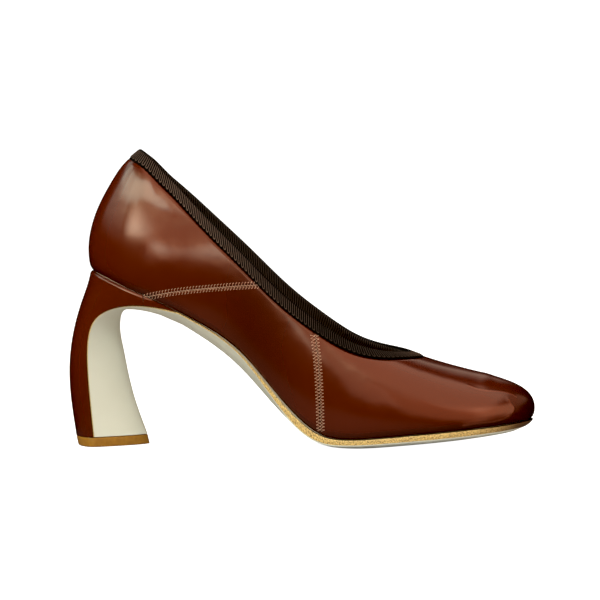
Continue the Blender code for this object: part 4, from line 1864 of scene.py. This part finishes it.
@dataclass
class HeelCover:
    """Curved heel in glossy leather, from the seat to the top piece, open to the sole in front."""

    last: LastForm
    leather: GlossLeather
    gap: float = SEAT_GAP
    breast_gap: float = BREAST_GAP
    overlap: float = 0.1
    tip_drop: float = 0.12
    front_clear: float = 0.05
    tuck: float = 0.2
    foot_height: float = 4.8
    wedge_front: float = 54.0
    rings: int = 120
    around: int = 130
    front: int = 4
    rim: float = 1.5
    rim_start: float = 44.0
    rim_full: float = 36.0
    seam_along: float = 38.6
    burnish_top: float = 30.0
    burnish_reach: float = 80.0
    sharp_angle: float = 40.0

    def outline(self, reach: float = 50.0, samples: int = 900, turn: float = 0.25) -> Array:
        """Draws the seat from above.

        Args:
            reach: Furthest place along the shoe.
            samples: Points before the front is left out.
            turn: Share of the way round on each side.

        Returns:
            Points from the outer front round the back to the inner front.
        """
        plan = self.last.curve(np.linspace(turn, -turn, samples) * self.last.period)[:, 0:2]
        return plan[plan[:, 0] <= reach]

    def front_line(self, samples: int = 400) -> Array:
        """Draws the edge that meets the sole.

        Args:
            samples: Points along the breast.

        Returns:
            Its side view, from the foot to the wedge's tip.
        """
        curve, length = LeatherSole.breast_curve()
        rows = curve(np.linspace(length, 0.0, samples))
        down = unit_rows(rows[:, 2:4] - rows[:, 0:2])
        line = rows[:, 0:2] + (self.breast_gap - self.overlap) * down
        tip = [self.wedge_front, self.last.feather_height(self.wedge_front)[0] - self.gap - self.tip_drop]
        return np.vstack([line, tip])

    def fall(self, x: Array) -> Array:
        """Returns how far the seat lies below its back."""
        back = SECTIONS[0].along * self.last.length
        return self.last.feather_height(np.maximum(x, back)) - self.last.heel_height

    def levels(self, samples: int = 1200) -> tuple[Array, Array, Spline]:
        """Finds the ring that passes through each point of the front line.

        Args:
            samples: Heights that are tried.

        Returns:
            Heights of the rings at the back, their front places, and the spline of their form.
        """
        table = np.array(HEEL_FORM)
        form = Spline(table[:, 0], table[:, 1:])
        seat = self.last.heel_height - self.gap
        line = self.front_line()
        run = running_length(line)
        even = np.linspace(0.0, run[-1], self.rings)
        x = np.interp(even, run, line[:, 0])
        z = np.interp(even, run, line[:, 1])
        heights = np.linspace(self.foot_height, seat, samples)
        slopes = form(heights)[:, 3] / form(seat)[0, 3]
        found = [np.interp(z[i], heights + slopes * self.fall(x[i])[0], heights) for i in range(len(x))]
        return np.maximum.accumulate(np.array(found)), x, form

    def round_rim(self, rings: Array) -> None:
        """Rounds the rim under the seat, fading out towards the wedge's thin tip.

        Args:
            rings: Rings of the heel, which are changed in place.
        """
        x = rings[..., 0]
        seat = self.last.heel_height - self.gap + self.fall(x.ravel()).reshape(x.shape)
        near = held(1.0 - (seat - rings[..., 2]) / self.rim)
        fade = held((self.rim_start - x) / (self.rim_start - self.rim_full))
        inset = self.rim * (1.0 - np.sqrt(1.0 - near**2)) * fade
        rings[..., 0] += inset
        rings[..., 1] *= 1.0 - inset / np.abs(rings[..., 1]).max()

    def ring(self, height: float, front: float, form: Spline) -> Array:
        """Draws one closed ring of the heel.

        Args:
            height: Height at the back.
            front: Place of the front edge.
            form: Back, stretch, width and slope by height.

        Returns:
            Points from the outer front round the back to the inner front, then across.
        """
        seat = self.last.heel_height - self.gap
        back, stretch, width, slope = form(height)[0]
        slope /= form(seat)[0, 3]
        outline = self.outline()
        x = back + (outline[:, 0] - outline[:, 0].min()) * stretch
        path = np.column_stack([x, outline[:, 1] * width])
        path = path[path[:, 0] < front - self.front_clear]
        path = np.vstack([[front, path[0, 1]], path, [front, path[-1, 1]]])
        run = running_length(path)
        even = np.linspace(0.0, run[-1], self.around)
        plan = np.column_stack([np.interp(even, run, path[:, 0]), np.interp(even, run, path[:, 1])])
        plan[0, 1] += self.tuck
        plan[-1, 1] -= self.tuck
        side = np.linspace(plan[-1, 1], plan[0, 1], self.front + 1)[1:]
        plan = np.vstack([plan, np.column_stack([np.full(self.front, front), side])])
        return np.column_stack([plan, height + slope * self.fall(plan[:, 0])])

    def build(self) -> Object:
        """Models the heel.

        Returns:
            The finished piece.
        """
        heights, fronts, form = self.levels()
        rings = np.array([self.ring(h, x, form) for h, x in zip(heights, fronts)])
        self.round_rim(rings)
        heel, j, i = Bench.lattice("heel_cover", rings.shape[1] - 1, len(rings) - 1)
        places = rings[i, j]
        Bench.lay(heel, places)
        Bench.mark(heel, "cover_seam", np.abs(places[:, 0] - self.seam_along))
        # The cover grows darker towards its foot, in the same darker colour as the upper's painted shade.
        burnish = held((self.burnish_top - places[:, 2]) / self.burnish_reach)
        Bench.mark(heel, "burnish", burnish)
        Bench.close(heel, caps=True)
        heel.data.materials.append(self.leather.material())
        Bench.finish(heel, self.sharp_angle, "heel_cover", "heel")
        return heel


@dataclass
class TopPiece:
    """The walking piece under the heel."""

    heel: HeelCover
    sole: LeatherSole
    rubber: CutEdge
    height: float = 4.5
    shear: float = 1.0
    corner: float = 1.0
    bevel: float = 0.35
    bevel_faces: int = 3
    bevel_angle: float = 60.0
    every: int = 3
    sharp_angle: float = 40.0

    def outline(self) -> Array:
        """Draws the top piece from above.

        Returns:
            The heel's back and the sole's prow as one closed outline.
        """
        form = self.heel.levels()[2]
        back = self.heel.ring(self.heel.foot_height, BREAST[-1].edge_x, form)
        back = back[: self.heel.around : self.every, 0:2]
        back = back[back[:, 0] < BREAST[-1].edge_x - self.corner]
        start = self.sole.across_top + self.sole.across_edge - 2
        prow = self.sole.breast_rings()[-1][start : start + self.sole.across_bottom, 0:2]
        return np.vstack([back, prow])

    def build(self) -> Object:
        """Models the top piece.

        Returns:
            The finished piece.
        """
        outline = self.outline()
        bpy.ops.object.select_all(action="DESELECT")
        bpy.ops.mesh.primitive_circle_add(vertices=len(outline), radius=1.0, fill_type="NGON")
        piece = bpy.context.active_object
        piece.name = "top_piece_rubber"
        piece.data.name = piece.name
        Bench.lay(piece, np.column_stack([outline, np.full(len(outline), self.height)]))
        bpy.ops.object.mode_set(mode="EDIT")
        bpy.ops.mesh.select_all(action="SELECT")
        drop = (self.shear * MM, 0.0, -self.height * MM)
        bpy.ops.mesh.extrude_region_move(TRANSFORM_OT_translate={"value": drop})
        bpy.ops.mesh.select_all(action="SELECT")
        bpy.ops.mesh.normals_make_consistent(inside=False)
        bpy.ops.object.mode_set(mode="OBJECT")
        Bench.bevel(piece, self.bevel, self.bevel_faces, self.bevel_angle)
        piece.data.materials.append(self.rubber.material())
        Bench.finish(piece, self.sharp_angle, "top_piece", "top_piece")
        return piece


class Light(Enum):
    """What a softbox does: shade the shoe, show in its gloss, or both."""

    SHADE = "shade"
    GLOSS = "gloss"
    BOTH = "both"


class Softbox(NamedTuple):
    """A light behind cloth: place and facing from the counter, metres, radiance, edge fades, roll."""

    name: str
    place: tuple[float, float, float]
    facing: tuple[float, float, float]
    width: float
    height: float
    radiance: float
    fade_across: float
    fade_up: float
    roll: float
    colour: Colour
    light: Light = Light.BOTH


class LightStrip(NamedTuple):
    """A row of upright softboxes round the shoe: its span, its heights and its light, angles in degrees."""

    name: str
    start: float
    end: float
    boxes: int
    low: float
    high: float
    radiance: float
    fade_up: float
    colour: Colour
    distance: float = 1.1
    fade_across: float = 0.002

    def softboxes(self) -> list[Softbox]:
        """Divides the strip.

        Returns:
            Its softboxes, side by side.
        """
        share = (self.end - self.start) / self.boxes
        width = 2.0 * self.distance * math.tan(math.radians(share / 2.0))
        bottom, top = (self.distance * math.tan(math.radians(lift)) for lift in (self.low, self.high))
        found = []
        for i in range(self.boxes):
            turn = math.radians(self.start + (i + 0.5) * share)
            facing = (math.sin(turn), -math.cos(turn), 0.0)
            place = (self.distance * facing[0], self.distance * facing[1], (bottom + top) / 2.0)
            found.append(
                Softbox(
                    f"{self.name}_{i}", place, facing, width, top - bottom, self.radiance,
                    self.fade_across, self.fade_up, 0.0, self.colour, Light.GLOSS,
                )
            )
        return found


WARM: Colour = (1.0, 0.78, 0.62)
COOL: Colour = (0.63, 1.0, 0.93)
LIGHT_STRIPS = (
    LightStrip("strip_softbox", -21.0, 8.0, 1, 34.0, 50.0, 6.2, 0.20, COOL),
    LightStrip("strip_middle_softbox", -50.0, -21.0, 1, 32.0, 50.0, 6.4, 0.20, COOL),
    LightStrip("strip_side_softbox", -80.0, -50.0, 1, 32.0, 50.0, 4.8, 0.20, COOL),
    LightStrip("strip_end_softbox", -110.0, -80.0, 1, 31.0, 50.0, 2.6, 0.20, COOL),
    LightStrip("strip_tail_softbox", -136.0, -110.0, 1, 31.0, 50.0, 1.0, 0.20, COOL),
    LightStrip("skirt_softbox", -107.0, -45.0, 2, 14.0, 44.0, 1.0, 0.50, (0.80, 1.0, 0.90)),
    LightStrip("front_softbox", -9.0, 18.0, 1, 3.0, 33.0, 1.0, 0.25, WARM, fade_across=0.20),
    LightStrip("fore_softbox", 8.0, 60.0, 1, -4.0, 34.0, 1.0, 0.25, (1.0, 0.60, 0.40), fade_across=0.25),
    LightStrip("right_softbox", 42.0, 98.0, 1, 0.0, 38.0, 1.7, 0.30, (1.0, 0.66, 0.45), fade_across=0.30),
    LightStrip("side_softbox", 94.0, 130.0, 1, 8.0, 44.0, 0.5, 0.30, (1.0, 0.60, 0.40), fade_across=0.20),
)
SOFTBOXES = (
    Softbox(
        "bank_softbox", (0.54, -0.16, 0.965), (0.0, -0.38, 0.92), 1.60, 2.20, 1.35, 0.22, 0.20, 0.0, WARM,
    ),
    Softbox(
        "low_softbox", (-0.0755, -0.236, 0.119), (-0.310, -0.852, 0.423), 0.215, 0.090, 8.4, 0.50, 0.48, 0.0,
        (0.80, 1.0, 0.88), Light.GLOSS,
    ),
    Softbox(
        "tail_softbox", (0.025, -0.223, 0.046), (0.05, -0.965, 0.259), 0.090, 0.046, 5.0, 0.50, 0.48, -40.0,
        (0.80, 1.0, 0.88), Light.GLOSS,
    ),
    Softbox(
        "fill_softbox", (-0.62, -0.40, 0.87), (0.0, -0.38, 0.92), 0.75, 2.70, 2.80, 0.15, 0.15, 0.0,
        WARM, Light.SHADE,
    ),
    Softbox(
        "key_softbox", (-0.35, -0.85, 0.70), (-0.30, -0.72, 0.60), 2.30, 0.66, 7.6, 0.40, 0.40, 0.0,
        (0.76, 1.0, 1.0), Light.SHADE,
    ),
    Softbox("back_softbox", (0.0, 1.18, 0.92), (0.0, 0.79, 0.616), 1.20, 1.10, 0.70, 0.30, 0.15, 0.0, WARM),
)


@dataclass
class Studio:
    """Pale round studio, soft lights and the camera at the photograph's angle, in metres."""

    aim: tuple[float, float, float] = (0.0008, 0.0, 0.0702)
    lit: tuple[float, float, float] = (-0.08, 0.0, 0.10)
    distance: float = 1.3
    azimuth: float = 5.0
    elevation: float = 2.8
    pixels_per_metre: float = 2090.0
    image_size: float = 600.0
    aim_pixel: tuple[float, float] = (302.0, 298.5)
    sensor: float = 36.0
    floor_radius: float = 2.2
    wall_radius: float = 0.9
    wall_height: float = 3.0
    flat_share: float = 0.5
    bend_share: float = 0.8
    sheet_around: int = 96
    sheet_rows: int = 40
    sunk: float = 0.0002
    paper: Colour = (0.52, 0.52, 0.52)
    glow: float = 0.12
    backlight: float = 0.9
    table_mirror: float = 0.16
    table_middle: tuple[float, float, float] = (-0.03, -0.11, 0.0)
    table_near: float = 0.06
    table_far: float = 0.18
    world: float = 0.01
    black: float = 0.004

    def camera(self) -> None:
        """Sets the camera."""
        turn, lift = math.radians(self.azimuth), math.radians(self.elevation)
        back = Vector((math.sin(turn) * math.cos(lift), -math.cos(turn) * math.cos(lift), math.sin(lift)))
        place = Vector(self.aim) + self.distance * back
        bpy.ops.object.camera_add(location=place, rotation=(-back).to_track_quat("-Z", "Y").to_euler())
        camera = bpy.context.active_object
        camera.data.sensor_width = self.sensor
        camera.data.lens = self.sensor * self.pixels_per_metre * self.distance / self.image_size
        camera.data.shift_x = (self.image_size / 2.0 - self.aim_pixel[0]) / self.image_size
        camera.data.shift_y = (self.aim_pixel[1] - self.image_size / 2.0) / self.image_size
        bpy.context.scene.camera = camera

    def bowl(self) -> None:
        """Builds the floor and the wall that rises from it as one pale sheet."""
        sheet = Bench.grid("studio_floor", self.sheet_around, self.sheet_rows)
        across, up = Bench.shares(sheet)
        flat, bend = self.flat_share, self.bend_share
        turn = held((up - flat) / (bend - flat)) * math.pi / 2.0
        radius = held(up / flat) * self.floor_radius + self.wall_radius * np.sin(turn)
        height = self.wall_radius * (1.0 - np.cos(turn))
        height += held((up - bend) / (1.0 - bend)) * self.wall_height
        angle = -across * 2.0 * math.pi
        places = np.column_stack([radius * np.cos(angle), radius * np.sin(angle), height - self.sunk])
        Bench.lay(sheet, places / MM + [MIDDLE, 0.0, 0.0])
        Bench.close(sheet)
        material = bpy.data.materials.new("studio_paper")
        material.use_nodes = True
        shader = material.node_tree.nodes["Principled BSDF"]
        shader.inputs["Roughness"].default_value = 1.0
        shader.inputs["Specular IOR Level"].default_value = 0.0
        shader.inputs["Emission Color"].default_value = (1.0, 1.0, 1.0, 1.0)
        nodes = Nodes(material.node_tree)
        ray = nodes.add("ShaderNodeLightPath").outputs
        place = Finish.place(nodes, Coordinate.OBJECT)
        away = nodes.add(
            "ShaderNodeVectorMath", {0: place, 1: self.table_middle}, operation="DISTANCE"
        ).outputs["Value"]
        table = nodes.spread(away, self.table_mirror, 0.0, self.table_near, self.table_far)
        strength = nodes.math("MULTIPLY", ray["Is Camera Ray"], self.backlight)
        strength = nodes.math("ADD", strength, self.glow)
        strength = nodes.add(
            "ShaderNodeMix", {0: ray["Is Glossy Ray"], 2: strength, 3: table}, data_type="FLOAT"
        ).outputs[0]
        paper = nodes.mix(ray["Is Glossy Ray"], (*self.paper, 1.0), (0.0, 0.0, 0.0, 1.0))
        nodes.tree.links.new(paper, shader.inputs["Base Color"])
        nodes.tree.links.new(strength, shader.inputs["Emission Strength"])
        sheet.data.materials.append(material)
        bpy.ops.object.shade_smooth()

    def light(self, box: Softbox) -> None:
        """Hangs one softbox round the lit place, facing the shoe.

        Args:
            box: The softbox.
        """
        bpy.ops.object.light_add(type="AREA", location=Vector(self.lit) + Vector(box.place))
        lamp = bpy.context.active_object
        lamp.name = box.name
        turned = (-Vector(box.facing)).to_track_quat("-Z", "Y")
        lamp.rotation_euler = (turned @ Quaternion((0.0, 0.0, 1.0), math.radians(box.roll))).to_euler()
        lamp.data.shape = "RECTANGLE"
        lamp.data.size = box.width
        lamp.data.size_y = box.height
        lamp.data.energy = box.radiance * math.pi * box.width * box.height
        lamp.data.color = box.colour
        lamp.visible_camera = False
        lamp.visible_diffuse = box.light is not Light.GLOSS
        lamp.visible_glossy = box.light is not Light.SHADE
        self.fade_edges(lamp, (box.fade_across, box.fade_up))

    @staticmethod
    def fade_edges(lamp: Object, fades: tuple[float, float]) -> None:
        """Lets the cloth of a softbox grow dim towards its edges.

        Args:
            lamp: The lamp.
            fades: Shares of its width and height that grow dim.
        """
        lamp.data.use_nodes = True
        nodes = Nodes(lamp.data.node_tree)
        place = Finish.place(nodes, Coordinate.UV)
        axes = nodes.add("ShaderNodeSeparateXYZ", {0: place}).outputs
        strength = 1.0
        for axis, fade in zip((axes[0], axes[1]), fades):
            away = nodes.math("SUBTRACT", 0.5, nodes.math("ABSOLUTE", nodes.math("SUBTRACT", axis, 0.5)))
            inputs = {"Value": away, "From Min": 0.0, "From Max": fade}
            soft = nodes.add("ShaderNodeMapRange", inputs, interpolation_type="SMOOTHSTEP").outputs["Result"]
            strength = nodes.math("MULTIPLY", soft, strength)
        emission = next(node for node in nodes.tree.nodes if node.type == "EMISSION")
        nodes.tree.links.new(strength, emission.inputs["Strength"])

    def build(self) -> None:
        """Builds the studio."""
        self.camera()
        self.bowl()
        for strip in LIGHT_STRIPS:
            for box in strip.softboxes():
                self.light(box)
        for box in SOFTBOXES:
            self.light(box)
        scene = bpy.context.scene
        scene.world = scene.world or bpy.data.worlds.new("studio_air")
        scene.world.use_nodes = True
        air = scene.world.node_tree.nodes["Background"]
        air.inputs["Color"].default_value = (1.0, 1.0, 1.0, 1.0)
        air.inputs["Strength"].default_value = self.world
        scene.view_settings.view_transform = "Standard"
        scene.view_settings.look = "None"
        scene.view_settings.use_curve_mapping = True
        scene.view_settings.curve_mapping.black_level = (self.black, self.black, self.black)
        scene.view_settings.curve_mapping.update()


def main() -> None:
    """Loads the frame, builds each part of the shoe over it and lights it."""
    logging.basicConfig(level=logging.INFO, format="%(name)s %(message)s")
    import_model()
    last = LastForm()
    Studio().build()
    lining = SoftLeather(name="beige_lining", roughness=0.6)
    calf = GlossLeather(
        name="brown_gloss_calf", roughness=0.22, coat=0.35, coat_roughness=0.08, specular=1.0,
        tint=(1.0, 0.42, 0.26), seams=(COUNTER_SEAM.name, VAMP_SEAM.name), highlight_mark="toe_line",
    )
    cover = GlossLeather(
        name="brown_heel_calf", roughness=0.23, coat=0.32, coat_roughness=0.10, specular=1.0,
        tint=(1.0, 0.42, 0.26), seams=("cover_seam",), seam_width=0.3,
    )
    thread = WovenThread(
        name="beige_thread", roughness=0.6, specular=0.2, gap=(0.28, 0.13, 0.07), ridge=(0.60, 0.34, 0.22),
        scale=900.0, stretch=(1.0, 1.0, 1.0), source=Coordinate.OBJECT,
    )
    cloth = WovenThread(name="dark_ribbon", roughness=0.75, specular=0.05, ridge_mark="rib")
    sock = SoftLeather(name="sock_leather", roughness=0.55)
    cream = SoftLeather(
        name="cream_sole", roughness=0.42, deep=(0.67, 0.63, 0.51), light=(0.75, 0.71, 0.59),
        cloud_contrast=0.8, pore_depth=0.00003, wave_depth=0.00003,
    )
    cut = CutEdge(name="tan_cut_edge", roughness=0.6, edge_toe_darkening_reach=46.0)
    # Painted shade: the sole's top face, where it shows under the upper's edge, is near black for the shadow
    # in the crevice.
    crevice_shade = SoftLeather(
        name="feather_crevice_shade", roughness=0.85, specular=0.02, deep=(0.008, 0.002, 0.0005),
        light=(0.014, 0.004, 0.001),
    )
    rubber = CutEdge(
        name="tan_top_piece", roughness=0.45, deep=(0.27, 0.108, 0.004), light=(0.35, 0.146, 0.007),
        scale=500.0, stretch=(1.0, 1.0, 1.0), fleck=0.75, depth=0.00003, source=Coordinate.OBJECT,
    )
    sole = LeatherSole(last, cream, cut, crevice_shade)
    heel = HeelCover(last, cover)
    pieces = (
        Upper(last, calf, lining),
        SeamWork(last, thread),
        CollarRibbon(last, cloth),
        SockLining(last, sock),
        sole,
        heel,
        TopPiece(heel, sole, rubber),
    )
    for piece in pieces:
        item = piece.build()
        LOG.info("%s: %d faces", item.name, len(item.data.polygons))


if __name__ == "__main__":
    main()
